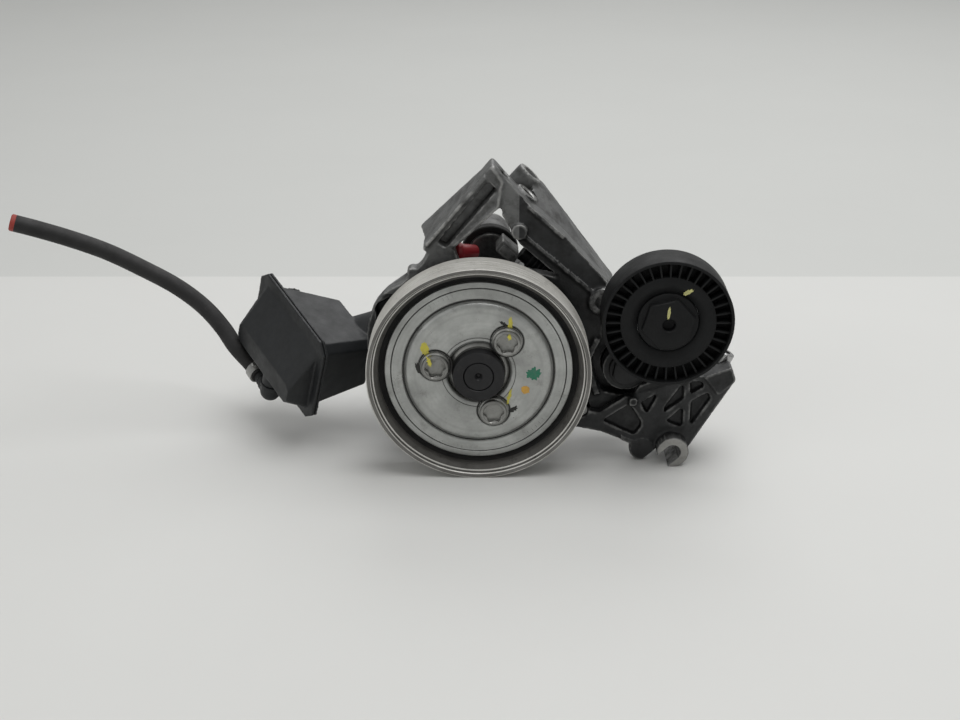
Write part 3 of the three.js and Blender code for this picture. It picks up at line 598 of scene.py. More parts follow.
BOLT_STEEL = machined_metal("bolt_steel", (0.34, 0.34, 0.33), (0.17, 0.17, 0.165), 0.38)
BEARING_STEEL = machined_metal("bearing_steel", (0.5, 0.5, 0.5), (0.36, 0.36, 0.36), 0.24)
BLACK_STEEL = lathe_metal("phosphated_steel", (0.018, 0.018, 0.019), (0.008, 0.008, 0.009),
                          (0.04, 0.038, 0.035), 0.46, 0.3)
NYLON = plastic("glass_filled_nylon", (0.0075, 0.008, 0.0085), (0.004, 0.0043, 0.0046), 0.52,
                dust=(0.035, 0.035, 0.034), dusty=0.2, specular=0.22)
POLYAMIDE = plastic("reservoir_polyamide", (0.014, 0.0155, 0.017), (0.009, 0.01, 0.011), 0.5,
                    dust=(0.07, 0.072, 0.073), dusty=0.2)
HOSE_RUBBER = plastic("hose_rubber", (0.014, 0.0135, 0.014), (0.008, 0.008, 0.008), 0.62, 0.07,
                      dust=(0.08, 0.076, 0.074))
BLACK_RUBBER = plastic("ring_rubber", (0.01, 0.01, 0.0095), (0.005, 0.005, 0.005), 0.75, 0.08,
                       dust=(0.05, 0.048, 0.045))
RED = plastic("red_plastic", (0.4, 0.025, 0.035), (0.26, 0.014, 0.02), 0.38,
              dust=(0.25, 0.12, 0.11), dusty=0.25)
RED_RUBBER = plastic("red_rubber", (0.36, 0.05, 0.035), (0.22, 0.025, 0.02), 0.6,
                     dust=(0.25, 0.14, 0.12), dusty=0.3)
CLAMP_STEEL = machined_metal("clamp_steel", (0.45, 0.45, 0.44), (0.28, 0.28, 0.27), 0.4)
# Old grease for the smudges on the disc. The same material also colours the rings of painted shade
# in the grooves.
GREASE_AND_SHADE = plastic("old_grease_and_groove_shade", (0.012, 0.011, 0.009), (0.005, 0.005, 0.004), 0.36,
                 dust=(0.05, 0.045, 0.04), dusty=0.4, specular=0.5)
YELLOW = paint_dab("yellow_paint", (0.62, 0.55, 0.06))
GREEN = paint_dab("green_paint", (0.008, 0.17, 0.09))
ORANGE = paint_dab("orange_paint", (0.62, 0.34, 0.05))
CREAM = paint_dab("cream_paint", (0.55, 0.53, 0.2))


# ---- main pulley: everything here turns with the shaft ----
def pulley_rim():
    margin = (RIM_WIDTH - RIB_COUNT * RIB_PITCH) / 2
    crest = RIM_R - 0.9
    valley = crest - 2.9
    profile = [(54.9, 0.25), (RIM_R - 0.5, 0), (RIM_R, 0.4), (RIM_R, margin - 0.3)]
    for i in range(RIB_COUNT):
        start = margin + i * RIB_PITCH
        middle = start + RIB_PITCH / 2
        profile += [(crest, start + 0.25), (valley, middle - 0.2), (valley, middle + 0.2),
                    (crest, start + RIB_PITCH - 0.25)]
    profile += [(RIM_R, RIM_WIDTH - 0.7), (RIM_R - 0.4, RIM_WIDTH), (51.6, RIM_WIDTH),
                (51.6, 15), (51, 15), (51, DISC_FRONT - 0.8), (51.3, 4.4),
                (52.2, 3.2), (53.4, 2.1), (53.7, 2.15), (54.5, 0.7), (54.9, 0.25)]
    piece = turned(profile, 180)

    def finish_of(centre, _normal):
        reach = math.hypot(centre.x, centre.z)
        # The recessed inner cone takes the darker copy of the rim steel: painted shade.
        if reach < 54.2:
            return 2
        return 1 if reach > valley + 1.2 and centre.y > margin - 0.4 else 0
    place(piece, "rim", ROTOR, [RIM_STEEL, BELT_STEEL, SHADED_CONE_STEEL],
          ["pulley_rim"], finish_of)


def pulley_rubber_ring():
    piece = turned([(DISC_R + 0.05, 8.4), (DISC_R + 0.9, 8.9), (50, 8.9), (50.95, 8.2),
                    (50.95, 14.4), (50.4, 14.8), (DISC_R + 0.4, 14.8), (DISC_R + 0.05, 14.4),
                    (DISC_R + 0.05, 8.4)], 144)
    place(piece, "rubber_ring", ROTOR, [BLACK_RUBBER], ["pulley_rubber_ring"])


def stamped_ticks():
    """Plain dashes round the disc, in groups of (first angle, count, step)."""
    circle_r = 42.4
    half_width = 0.28
    marks = []
    for first, count, step in ((24, 4, 4.2), (62, 2, 5), (108, 6, 3.4), (188, 5, 4),
                               (252, 7, 3.2), (303, 6, 3.6), (345, 1, 4)):
        for i in range(count):
            angle = first + i * step
            top = (1.9 if i % 3 else 1.3) / 2
            mark = box(-half_width, half_width, DISC_FRONT - 0.14, DISC_FRONT + 0.4, -top, top)
            mark = turned_by(bevelled(mark, 0.1, 1), angle - 90)
            marks.append(centred(mark, *polar(circle_r, angle)))
    return marks


def pulley_disc():
    back = DISC_FRONT + 3.4
    body = turned([
        (16.1, 7), (16.2, 5.9), (16.7, 5.2), (17.4, 4.95), (18.1, 5.1), (18.7, 5.0), (19.4, 4.7),
        (34.2, 4.6), (35.6, 4.75), (36.8, 5.3), (37.5, 6.2), (37.9, 7.2), (38.3, 7.5), (38.7, 7.2),
        (39.1, 6.7), (39.8, DISC_FRONT), (44.2, DISC_FRONT), (44.45, DISC_FRONT + 0.35),
        (44.7, DISC_FRONT + 0.35), (44.95, DISC_FRONT), (DISC_R - 0.8, DISC_FRONT),
        (DISC_R - 0.2, DISC_FRONT + 0.25), (DISC_R, DISC_FRONT + 0.9), (DISC_R, 14.5),
        (43.5, 14.5), (43.5, back), (16.1, back), (16.1, 7),
    ], 180)
    tools = []
    for angle in SCREW_ANGLES:
        x, z = polar(SCREW_CIRCLE_R, angle)
        seat = turned([(0, 3), (9.4, 3), (9.0, 4.62), (8.3, 5.05), (0, 5.05), (0, 3)], 64)
        tools += [centred(seat, x, z), rod(SCREW_HOLE_R, 3, 20, 32, x, z)]
    body = heap(cut(body, *tools), *stamped_ticks())
    place(body, "disc", ROTOR, [ZINC], ["pulley_disc"], angle=28)


def pulley_hub():
    nose = SHAFT_NOSE_R + 0.12
    body = turned([
        (nose, -0.9), (nose + 0.25, -1.2), (HUB_R - 0.9, -1.2), (HUB_R - 0.2, -0.8), (HUB_R, 0),
        (HUB_R, 5.2), (HUB_R + 0.5, 6.4), (15.3, 7.1), (15.9, 7.6), (15.9, 10.4), (31, 10.4),
        (31, 16), (14, 16), (14, 18), (nose, 18), (nose, -0.9),
    ], 120)

    def collar(centre, _normal):
        return math.hypot(centre.x, centre.z) > HUB_R + 0.2 and centre.y < 8
    place(body, "hub", ROTOR, [BLACK_STEEL, SCREW_ZINC], ["pulley_hub"], collar)
    side = SHAFT_NOSE_R - 0.05
    shaft = turned([
        (0, 1.4), (0.7, 1.2), (1.3, 0.2), (2.1, -0.75), (2.5, -0.85), (3.4, -1.0),
        (SHAFT_NOSE_R - 0.5, -1.0), (side, -0.5), (side, 19), (SHAFT_R, 19.4), (SHAFT_R, 52),
        (7, 52.5), (7, 86), (0, 86), (0, 1.4),
    ], 72)
    place(shaft, "shaft", ROTOR, [BLACK_STEEL], ["pump_shaft"])


def pulley_screw(number, angle):
    x, z = polar(SCREW_CIRCLE_R, angle)
    head = turned([
        (0, 0.6), (6.0, 0.6), (6.6, 0.95), (6.75, 1.5), (6.85, 2.6), (7.5, 2.95), (7.7, 3.4),
        (7.7, 4.4), (7.2, 5.0), (3.9, 5.0), (3.9, 15.6), (0, 15.6), (0, 0.6),
    ], 72)
    socket = six_lobe(5.3, -1, 3.1)
    countersink = turned([(0, 0), (5.9, 0), (5.1, 1.1), (0, 1.1), (0, 0)], 48)
    head = cut(head, turned_by(socket, 14 + angle), countersink)
    head = bevelled(head, 0.12, 1, 50)
    # Dark ring in the seat round the head: painted shade.
    groove_shade_ring(f"screw_seat_shade_{number}", 8.35, 0.8, 4.86, x, z)
    place(centred(head, x, z), f"torx_screw_{number}", ROTOR,
          [SCREW_ZINC], [f"pulley_screw_{number}"])


def groove_shade_ring(name, radius, width, depth, x=0, z=0):
    """Dark ring laid in the bottom of a groove, in the grease material: painted shade."""
    ring = tube(radius - width / 2, radius + width / 2, depth, depth + 0.5, 144, 0.1)
    place(centred(ring, x, z), name, ROTOR, [GREASE_AND_SHADE])


pulley_rim()
pulley_rubber_ring()
pulley_disc()
# Dark rings laid in the disc's grooves: painted shade.
groove_shade_ring("groove_shade", 38.3, 0.9, 7.1)
groove_shade_ring("lip_groove_shade", 18.85, 0.34, 4.85)
groove_shade_ring("edge_groove_shade", 44.58, 0.4, DISC_FRONT + 0.22)
pulley_hub()
for screw_number, screw_angle in enumerate(SCREW_ANGLES, 1):
    pulley_screw(screw_number, screw_angle)


# ---- paint marks ----
def dab(name, material, x, z, depth, reach, tall, lean, spikes, body, slot_name, seed):
    """Thin uneven patch of paint on a face that looks forward."""
    count = 44
    outline = []
    for i in range(count):
        angle = 2 * math.pi * i / count
        across, up = math.cos(angle), math.sin(angle)
        ragged = 1 + spikes * noise.noise(Vector((3.1 * across, 3.1 * up, seed)))
        ragged += 0.5 * spikes * noise.noise(Vector((9 * across, 9 * up, seed)))
        outline.append((reach * ragged * across, tall * ragged * up))
    patch = bevelled(plate(outline, -0.06, 0.3), 0.05, 1, 60)
    patch = moved(turned_by(patch, lean), Vector((x, depth, z)))
    place(patch, name, body, [material])


# name, paint, x, z, depth, half width, half height, lean, raggedness
PULLEY_DABS = (
    ("yellow_mark_1", YELLOW, -27.2, 13.2, 4.6, 2.1, 3.3, 8, 0.4),
    ("yellow_mark_2", YELLOW, -24.9, 7.6, 0.6, 0.9, 2.6, 14, 0.7),
    ("yellow_mark_3", YELLOW, 15.9, 26.8, 4.6, 1.1, 3.4, -4, 0.8),
    ("yellow_mark_4", YELLOW, 15.4, 20.8, 0.6, 0.9, 1.5, 10, 0.8),
    ("yellow_mark_5", YELLOW, 15.6, -13.2, 4.6, 0.9, 4.0, -14, 0.7),
    ("green_mark", GREEN, 27.8, -0.6, 4.6, 3.5, 3.3, 0, 0.45),
    ("orange_mark", ORANGE, 23.8, -9.4, 4.6, 2.1, 2.1, 0, 0.35),
    ("grease_spot_1", GREASE_AND_SHADE, -30.4, 2.2, 4.6, 1.3, 3.2, 24, 0.5),
    ("grease_spot_2", GREASE_AND_SHADE, 17.4, -20.4, 4.6, 2.6, 1.2, 34, 0.5),
    ("grease_spot_3", GREASE_AND_SHADE, 12.4, 26.6, 4.6, 2.0, 0.8, -24, 0.5),
    ("grease_spot_4", GREASE_AND_SHADE, -31.2, 23.4, 6.9, 0.7, 4.2, 46, 0.9),
)
for seed, patch in enumerate(PULLEY_DABS):
    dab(*patch, ROTOR, "zinc_plated", seed)
dab("cream_mark_1", CREAM, IDLER_X - 0.4, IDLER_Z + 6.6, -1.2, 0.75, 3.3, -5, 0.3,
    "tensioner_arm_body", "black_steel", 20)
dab("cream_mark_2", CREAM, IDLER_X + 9.0, IDLER_Z + 16.4, 2.2, 2.5, 1.1, 28, 0.5,
    "idler", "black_plastic", 21)


# ---- belt tensioner ----
def idler_pulley():
    shell = turned([
        (31.4, IDLER_FRONT + 0.2), (31.7, IDLER_FRONT), (32.3, IDLER_FRONT),
        (32.8, IDLER_FRONT + 0.3), (IDLER_R, IDLER_FRONT + 1), (IDLER_R, 19.5), (32.7, 20.2),
        (32.2, IDLER_BACK),
        (31.4, IDLER_BACK), (31.4, 12), (24.1, 12), (24.1, 18.5), (17.8, 18.5), (17.8, 5.4),
        (15.6, 5.2), (15.6, 3.9), (16.2, 3.4), (18.6, 2.5), (19.4, 2.2), (23.3, 2.2),
        (23.9, 2.5), (24.1, 3.0), (24.1, 8.6), (31.4, 8.6), (31.4, IDLER_FRONT + 0.2),
    ], 180)
    ribs = []
    for i in range(IDLER_RIBS):
        rib = plate([(23.6, -0.42), (31.9, -0.55), (31.9, 0.55), (23.6, 0.42)], 2.3, 11)
        ribs.append(turned_by(bevelled(rib, 0.2, 2), 360 * i / IDLER_RIBS))
    piece = centred(heap(shell, *ribs), IDLER_X, IDLER_Z)
    place(piece, "idler_wheel", "idler", [NYLON], ["idler_pulley"])


def idler_bolt():
    head = turned_by(hexagon(IDLER_HEXAGON, -1.2, 4.2), 13.3)
    flange = turned([(0, 3.1), (14.6, 3.1), (15.3, 3.5), (15.52, 4.9), (8.6, 5), (8.6, 6),
                     (5.8, 6), (5.8, 27), (0, 27), (0, 3.1)], 96)
    head = cut(join(head, flange), rod(3.25, -3, 3.2, 40),
               turned([(0, -2), (4.3, -2), (3.2, -0.5), (0, -0.5), (0, -2)], 40))
    head = bevelled(head, 0.35, 2, 40)
    place(centred(head, IDLER_X, IDLER_Z), "idler_hex_bolt", "tensioner_arm_body",
          [NYLON], ["idler_bolt"])


def tensioner_arm():
    arm = heap(from_node("tensioner_arm"), rod(ARM_BOSS_R, 27, 36, 72, PIVOT_X, PIVOT_Z),
               rod(ARM_BOSS_R, 24, 34, 72, IDLER_X, IDLER_Z),
               rod(8.6, 18, 25, 64, IDLER_X, IDLER_Z))
    # The rods close the bores, which are cut again once the edges are rounded.
    arm = softened(arm, 0.6, 5, 0.05)
    arm = cut(arm, rod(5.3, 10, 50, 48, PIVOT_X, PIVOT_Z), rod(6.1, 10, 50, 48, IDLER_X, IDLER_Z))
    place(arm, "arm", "tensioner_arm_body", [CAST_DARK], ["tensioner_arm"])


def tensioner_case():
    shell = turned([
        (5.4, 36.5), (8, 36.5), (8, 55), (18, 55), (18, 36.5), (20.4, 36.5), (21, 37.2),
        (21, 57), (20.2, 58.6), (18.6, 59.5), (12, 59.5), (11.4, 58.8), (7, 58.8), (6.6, 59.5),
        (5.4, 59.5), (5.4, 36.5),
    ], 120)
    ribs = [turned_by(bevelled(plate([(20.2, -1.1), (21.0, -0.8), (21.0, 0.8), (20.2, 1.1)],
                                     40, 56), 0.2, 1), 45 * i + 12) for i in range(8)]
    dust_lid = tube(12.4, 20.2, 36.55, 37.4, 120, 0.2)
    case = softened(heap(shell, dust_lid, *ribs), 0.6, 3, 0.06)
    centred(case, PIVOT_X, PIVOT_Z)
    place(case, "spring_case", PUMP, [CAST_DARK], ["tensioner_case"])


def coil(radius, wire, start, length, turns, x, z):
    """Helical spring of round wire, wound about a line along Y."""
    steps = turns * 40
    sides = 12
    vertices = []
    for i in range(steps + 1):
        share = i / steps
        angle = 2 * math.pi * turns * share
        for k in range(sides):
            around = 2 * math.pi * k / sides
            reach = radius + wire * math.cos(around)
            depth = start + length * share + wire * math.sin(around)
            vertices.append((x + reach * math.cos(angle), depth, z + reach * math.sin(angle)))
    return new_solid(vertices, wire_faces(steps + 1, sides))


def hex_bolt(name, across, shank, length, head, x, z, seat, replaced):
    """Bolt whose head looks to the back, seated at the depth given."""
    collar = across * 0.58
    top = join(hexagon(across, 0, head - 0.8),
               turned([(0, head - 1.6), (across * 0.5, head - 1.2), (collar, head - 0.5),
                       (collar, head), (0, head), (0, head - 1.6)], 64),
               rod(shank, head - 1, head + length, 40, chamfer=0.4))
    top = bevelled(top, 0.2, 2, 40)
    top = aimed(top, Vector((x, seat + head, z)), (0, -1, 0))
    place(top, name, PUMP, [BOLT_STEEL], [replaced])


def pivot_bolt():
    head = join(turned_by(hexagon(13, 21.2, 26), 20), rod(8.6, 25, 26.7, 64, chamfer=0.3),
                rod(4.9, 26, 59, 48))
    head = bevelled(head, 0.25, 2, 40)
    place(centred(head, PIVOT_X, PIVOT_Z), "pivot_bolt", PUMP,
          [BLACK_STEEL], ["tensioner_pivot_bolt"])


idler_pulley()
idler_bolt()
tensioner_arm()
tensioner_case()
place(coil(13, 1.6, 39.5, 12, 3, PIVOT_X, PIVOT_Z), "torsion_spring", PUMP,
      [BOLT_STEEL], ["tensioner_spring"])
pivot_bolt()


# ---- pump housing, rear cover and their bolts ----
def pump_housing():
    parts = [from_node("pump_housing"),
             tube(17.3, 21.5, 27.2, 41, 120), tube(CAVITY_R, BARREL_R, 46, HOUSING_BACK, 144),
             centred(tube(7.6, VALVE_R, 62, HOUSING_BACK, 96), VALVE_X, VALVE_Z),
             rod(VALVE_R, 55, 61.9, 96, VALVE_X, VALVE_Z)]
    parts += rods(COVER_EAR_R, 70, HOUSING_BACK, 48, COVER_CIRCLE_R, COVER_ANGLES)
    parts += rods(MOUNT_LUG_R, 36.3, 46, 56, MOUNT_CIRCLE_R, MOUNT_ANGLES)
    for degrees in (0, 22, 68, 112, 158, 180, 202):
        rib = plate([(BARREL_R - 3, -1.3), (BARREL_R + 1.1, -0.9), (BARREL_R + 1.1, 0.9),
                     (BARREL_R - 3, 1.3)], 52, 88)
        parts.append(turned_by(rib, degrees))
    body = softened(heap(*parts), 0.95, 4, 0.12)
    tools = [rod(BARREL_R + 12, HOUSING_BACK - 0.15, HOUSING_BACK + 9, 64)]
    tools += rods(3.3, 76, 100, 32, COVER_CIRCLE_R, COVER_ANGLES)
    for angle in MOUNT_ANGLES:
        x, z = polar(MOUNT_CIRCLE_R, angle)
        tools += [rod(4.5, 30, 50, 32, x, z), rod(MOUNT_LUG_R + 0.1, 45.7, 49, 48, x, z)]
    body = cut(body, *tools)

    def milled(centre, normal):
        seat = centre.y > HOUSING_BACK - 0.4 or 45.5 < centre.y < 45.9
        return abs(normal.y) > 0.98 and seat
    place(body, "housing", PUMP, [CAST_PUMP, MILLED], ["pump_housing"], milled)


def rear_cover():
    start = HOUSING_BACK + 0.3
    centre_face = 101.7
    parts = [turned([
        (0, start), (BARREL_R, start), (BARREL_R, 98), (BARREL_R - 2.5, COVER_BACK),
        (19, COVER_BACK), (15.5, 102.3), (0, 102.3), (0, start),
    ], 144)]
    for angle in COVER_ANGLES:
        parts.append(rod(COVER_EAR_R, start, COVER_BACK, 48, *polar(COVER_CIRCLE_R, angle)))
        rib = plate([(12, -1.6), (COVER_CIRCLE_R - 6, -1.1), (COVER_CIRCLE_R - 6, 1.1), (12, 1.6)],
                    99, 102.2)
        parts.append(turned_by(rib, angle))
    body = softened(heap(*parts), 0.7, 4, 0.08)
    tools = []
    for angle in COVER_ANGLES:
        x, z = polar(COVER_CIRCLE_R, angle)
        tools += [rod(3.4, 80, 110, 32, x, z),
                  rod(COVER_EAR_R + 0.2, COVER_BACK - 0.15, 104, 40, x, z)]
    tools += [box(-50, 50, start - 4, start + 0.05, -50, 50), rod(8.5, centre_face, 106, 64)]
    body = cut(body, *tools)

    def milled(centre, normal):
        seat = abs(centre.y - COVER_BACK + 0.15) < 0.05 or abs(centre.y - centre_face) < 0.05
        return normal.y > 0.98 and seat or normal.y < -0.98
    place(body, "cover", PUMP, [CAST_PUMP, MILLED], ["rear_cover"], milled)


pump_housing()
rear_cover()
for number, angle in enumerate(COVER_ANGLES, 1):
    hex_bolt(f"rear_bolt_{number}", 10, 3, 18, 5, *polar(COVER_CIRCLE_R, angle),
             COVER_BACK, f"cover_bolt_{number}")
for number, angle in enumerate(MOUNT_ANGLES, 1):
    hex_bolt(f"mounting_bolt_{number}", 13, 4, 16, 7, *polar(MOUNT_CIRCLE_R, angle),
             MOUNT_SEAT, f"pump_bolt_{number}")


def valve_plug():
    body = join(turned([(0, 92.2), (7.2, 92.2), (7.2, 94), (10.2, 94), (10.5, 94.4),
                        (10.5, 95.4), (10.2, 95.8), (0, 95.8), (0, 92.2)], 72),
                aimed(hexagon(16, 0, 6), Vector((0, 101, 0)), (0, -1, 0)))
    body = bevelled(body, 0.25, 2, 40)
    place(centred(body, VALVE_X, VALVE_Z), "valve_hex_plug", PUMP,
          [BOLT_STEEL], ["valve_plug"])


valve_plug()


# ---- what shows in the bracket's window ----
def window_parts():
    block = plate([(8.5, 53.2, 1), (12.5, 58.5, 1), (21, 50.8, 1), (17.5, 45, 1)], 40, 54.6)
    block = bevelled(block, 0.8, 3)
    face = bevelled(plate([(10.3, 53.4, 1), (12.9, 56.6, 1), (19.2, 50.7, 1), (17, 47.2, 1)],
                          39.4, 40.6), 0.3, 2)
    place(heap(block, face), "outlet_flange", PUMP, [CAST_PUMP],
          ["outlet_block"])
    start = Vector((22.3, 46, 50.6))
    along = Vector((52, 46, 26)) - start
    profile = [(0, 0), (3.9, 0), (4.2, 0.4), (4.2, 5), (4.8, 5.6), (5.2, 6)]
    for ring in range(3):
        at = 7 + 2.4 * ring
        profile += [(5.2, at), (4.8, at + 0.5), (4.8, at + 1.1), (5.2, at + 1.6)]
    profile += [(5.2, 15), (4.6, 15.6), (4.6, along.length - 0.6), (4.2, along.length),
                (0, along.length), (0, 0)]
    place(aimed(turned(profile, 64), start, along), "outlet_hose_stub", PUMP,
          [NYLON], ["outlet_pipe"])
    band = tube(11.9, 15.2, 56, 62, 120, 0.5)
    band = cut(centred(band, VALVE_X, VALVE_Z), box(-30, 40, 50, 70, 0, 50.2))
    place(bevelled(band, 0.3, 2, 50), "band", PUMP, [BLACK_RUBBER], ["valve_band"])
    plug = turned([(0, -6), (3.4, -6), (3.7, -5.4), (4.5, 4), (5.7, 4.6), (6, 5.2), (6, 7.2),
                   (5.6, 7.9), (4.4, 8.4), (3.6, 8.5), (3.2, 6.4), (0, 6.2), (0, -6)], 64)
    place(aimed(plug, Vector((-6.5, 46, 50.5)), (-0.55, -0.35, 0.1)), "red_port_plug",
          PUMP, [RED], ["transport_plug"])


window_parts()


# ---- brackets ----
def boss(radius, y0, y1, at, direction=(0, 1, 0), chamfer=0.5):
    """Rod from y0 to y1 along a direction, counted from the place given."""
    part = rod(radius, y0, y1, 72, chamfer=chamfer)
    return aimed(part, Vector(at), direction)


def rail(start, end, width):
    """Low cast rib on the bracket's front face."""
    a, b = Vector(start), Vector(end)
    side = Vector((a.y - b.y, b.x - a.x)).normalized() * width / 2
    return plate([a - side, b - side, b + side, a + side], PLATE_FRONT - RAIL_HEIGHT,
                 PLATE_FRONT + 2)


def main_bracket():
    parts = [from_node("main_bracket"),
             boss(6.3, -15, 0, FRONT_BOSS, ARM_NORMAL), boss(7, -16, 0, BACK_BOSS, ARM_NORMAL),
             boss(7.5, 25, 64, EAR), boss(4.2, 25.5, 40, (20.5, 0, 67.5)),
             boss(3, 28, 36, (-33.5, 0, 45)),
             rail((3.4, 96), (-26.5, 60), 1.9), rail((9.5, 80.2), (-12.5, 59.5), 1.7),
             rail((6.6, 100.6), (11.6, 93.4), 1.9), rail((11.6, 93.4), (9.5, 80.2), 1.8),
             rail((22, 66), (63, 31), 1.9), rail((24.6, 80.6), (43, 64), 1.9)]
    body = softened(heap(*parts), 0.8, 3, 0.12)
    tools = [boss(3.6, -40, 4, FRONT_BOSS, ARM_NORMAL, 0),
             boss(7.4, -0.2, 4, FRONT_BOSS, ARM_NORMAL, 0),
             boss(4.3, -40, 4, BACK_BOSS, ARM_NORMAL, 0),
             boss(8.1, -0.2, 4, BACK_BOSS, ARM_NORMAL, 0),
             boss(4.2, 20, 80, EAR, chamfer=0), boss(8.4, 20, 25.3, EAR, chamfer=0),
             boss(21.9, 10, 60, (0, 0, 0), chamfer=0)]
    for at in (FRONT_BOSS, BACK_BOSS):
        cone = turned([(0, -0.9), (3.4, -0.9), (5, 0.4), (0, 0.4), (0, -0.9)], 48)
        tools.append(aimed(cone, at, ARM_NORMAL))
    tools += rods(M8_HOLE_R, 20, 50, 32, MOUNT_CIRCLE_R, MOUNT_ANGLES)
    tools += [rod(M8_HOLE_R, 20, 50, 32, x, z) for x, z in SIDE_BOLTS]
    body = cut(body, *tools)

    def finish_of(centre, normal):
        if normal.dot(ARM_NORMAL) > 0.995:
            for at in (FRONT_BOSS, BACK_BOSS):
                if abs((centre - at).dot(ARM_NORMAL) + 0.2) < 0.1 and (centre - at).length < 9:
                    return 1
        # Slot 2, the dark oily alloy, is oil film and painted shade. It goes on arm faces turned
        # away from ARM_NORMAL, where less light falls, and on the low plate between pulley and
        # idler, which lies in shade.
        oily_and_shaded_arm = centre.x > 20.5 and centre.y < 50 and normal.dot(ARM_NORMAL) < 0.6
        return 2 if oily_and_shaded_arm or centre.z < 34 and centre.y < 38 else 0
    place(body, "bracket_main", PUMP, [CAST, MILLED, CAST_DARK],
          ["main_bracket"], finish_of)


def side_bracket():
    hook_z = FLOOR_Z + HOOK_R
    idler_shelf = plate([(80, -20.5), (97, -14.5), (106, -9.5), (106, -6), (97, -9.5),
                         (84, -15)], 23, 26.4)
    parts = [from_node("side_bracket"), idler_shelf,
             boss(REAR_BOSS_R, 21, 27.7, (REAR_BOSS_X, 0, FLOOR_Z + REAR_BOSS_R))]
    body = softened(heap(*parts), 0.75, 4, 0.14)
    ring = tube(HOOK_BORE_R, HOOK_R, HOOK_FACE - 0.2, 42, 120, 0.5)
    ring = centred(ring, HOOK_X, hook_z)
    mouth = box(-20, 0, 0, 70, -HOOK_BORE_R, HOOK_BORE_R)
    mouth = centred(turned_by(mouth, 42), HOOK_X, hook_z)
    hole = rod(HOOK_BORE_R, 5, 60, 64, HOOK_X, hook_z)
    seat = rod(HOOK_R + 0.4, 5, HOOK_FACE, 72, HOOK_X, hook_z)
    body = cut(join(body, ring), mouth, hole, seat,
               aimed(rod(3.6, -12, 20, 32), DOWEL_SEAT, DOWEL_AXIS),
               aimed(rod(6, 0.1, 12, 48), DOWEL_SEAT, DOWEL_AXIS),
               *[rod(3.4, 10, 50, 32, x, z) for x, z in SIDE_BOLTS])

    def milled(centre, normal):
        face = normal.y < -0.99 and abs(centre.y - HOOK_FACE) < 0.05
        return face or normal.dot(DOWEL_AXIS) > 0.995 and (centre - DOWEL_SEAT).length < 7
    place(body, "bracket_side", PUMP, [CAST_DARK, MILLED_OILY],
          ["side_bracket"], milled)


main_bracket()
side_bracket()
for number, (x, z) in enumerate(SIDE_BOLTS, 1):
    hex_bolt(f"joining_bolt_{number}", 13, 3.1, 13, 7, x, z, PLATE_BACK + 0.3,
             f"bracket_bolt_{number}")
bush = join(rod(3.1, -8, 1, 48), tube(2, 4.4, 0.3, 7, 72, 0.4))
bush = cut(bush, rod(2, -6, 12, 40))
place(aimed(bush, DOWEL_SEAT, DOWEL_AXIS), "dowel", PUMP,
      [BEARING_STEEL], ["dowel_bush"])


# ---- reservoir ----
SEAM_CORNER = Vector((-77.6, 22, 6.1))
LONG_EDGE = Vector((-0.531, 0.765, 0.365)).normalized()
SHORT_EDGE = Vector((-0.212, 0.297, -0.931))
SHORT_EDGE = (SHORT_EDGE - LONG_EDGE * SHORT_EDGE.dot(LONG_EDGE)).normalized()
TO_PUMP = SHORT_EDGE.cross(LONG_EDGE).normalized()


def seam_point(along, across, out):
    return SEAM_CORNER + LONG_EDGE * along + SHORT_EDGE * across + TO_PUMP * out


SPOUT_ROOT = seam_point(31, 42, -9.6)
ELBOW = seam_point(31, 52.9, -9.6)
FILLER_ROOT = seam_point(50, 33, 16)
NECK_ROOT = seam_point(29, 28, 33)
NECK_END = Vector((-37, 66, 3))


def reservoir():
    front = heap(from_node("reservoir_front"), aimed(rod(5.4, -1, 5, 64), SPOUT_ROOT, SHORT_EDGE))
    front = softened(front, 0.55, 3, 0.04)
    place(front, "tank_front", PUMP, [POLYAMIDE], ["reservoir_front"])
    neck = NECK_END - NECK_ROOT
    rear = heap(from_node("reservoir_rear"),
                aimed(tube(9, 12.5, 3, neck.length - 1, 96), NECK_ROOT, neck),
                aimed(tube(9.3, 11.5, 3, 17, 96), FILLER_ROOT, LONG_EDGE))
    rear = softened(rear, 0.6, 3, 0.04)
    place(rear, "tank_rear", PUMP, [POLYAMIDE], ["reservoir_rear"])
    cap = turned([(0, 10), (8.8, 10), (8.8, 17.3), (12.9, 17.3), (13.4, 17.8), (13.4, 21.4),
                  (12.8, 22), (10.8, 22.2), (10.2, 21.7), (0, 21.7), (0, 10)], 120)
    grips = [turned_by(moved(rod(0.75, 17.8, 21.4, 12), Vector((13.0, 0, 0))), 15 * i)
             for i in range(24)]
    handle = bevelled(box(-10.6, 10.6, 21, 25, -2.1, 2.1), 0.9, 3)
    place(aimed(heap(cap, handle, *grips), FILLER_ROOT, LONG_EDGE), "filler_cap_turned",
          "filler_cap", [NYLON], ["reservoir_cap"])
    socket = turned([(0, 5.2), (ELBOW_R, 5.2), (5.9, 5.5), (5.9, 7), (5.5, 7.4),
                     (ELBOW_R, 10.2), (0, 10.2), (0, 5.2)], 64)
    side = [(ELBOW_R * math.sin(math.radians(a)), -ELBOW_R * math.cos(math.radians(a)))
            for a in range(12, 180, 12)]
    ball = turned([(0, -ELBOW_R), *side, (0, ELBOW_R)], 48)
    nipple = turned([(0, 0), (4.4, 0), (4.4, 6.4), (3.6, 7), (3.6, 8.6), (4.0, 9),
                     (3.6, 10.4), (3.5, 12), (0, 12), (0, 0)], 48)
    elbow = join(aimed(socket, SPOUT_ROOT, SHORT_EDGE), aimed(ball, ELBOW, SHORT_EDGE),
                 aimed(nipple, ELBOW, LONG_EDGE))
    place(bevelled(elbow, 0.3, 2, 40), "elbow", PUMP, [POLYAMIDE], ["hose_elbow"])


reservoir()


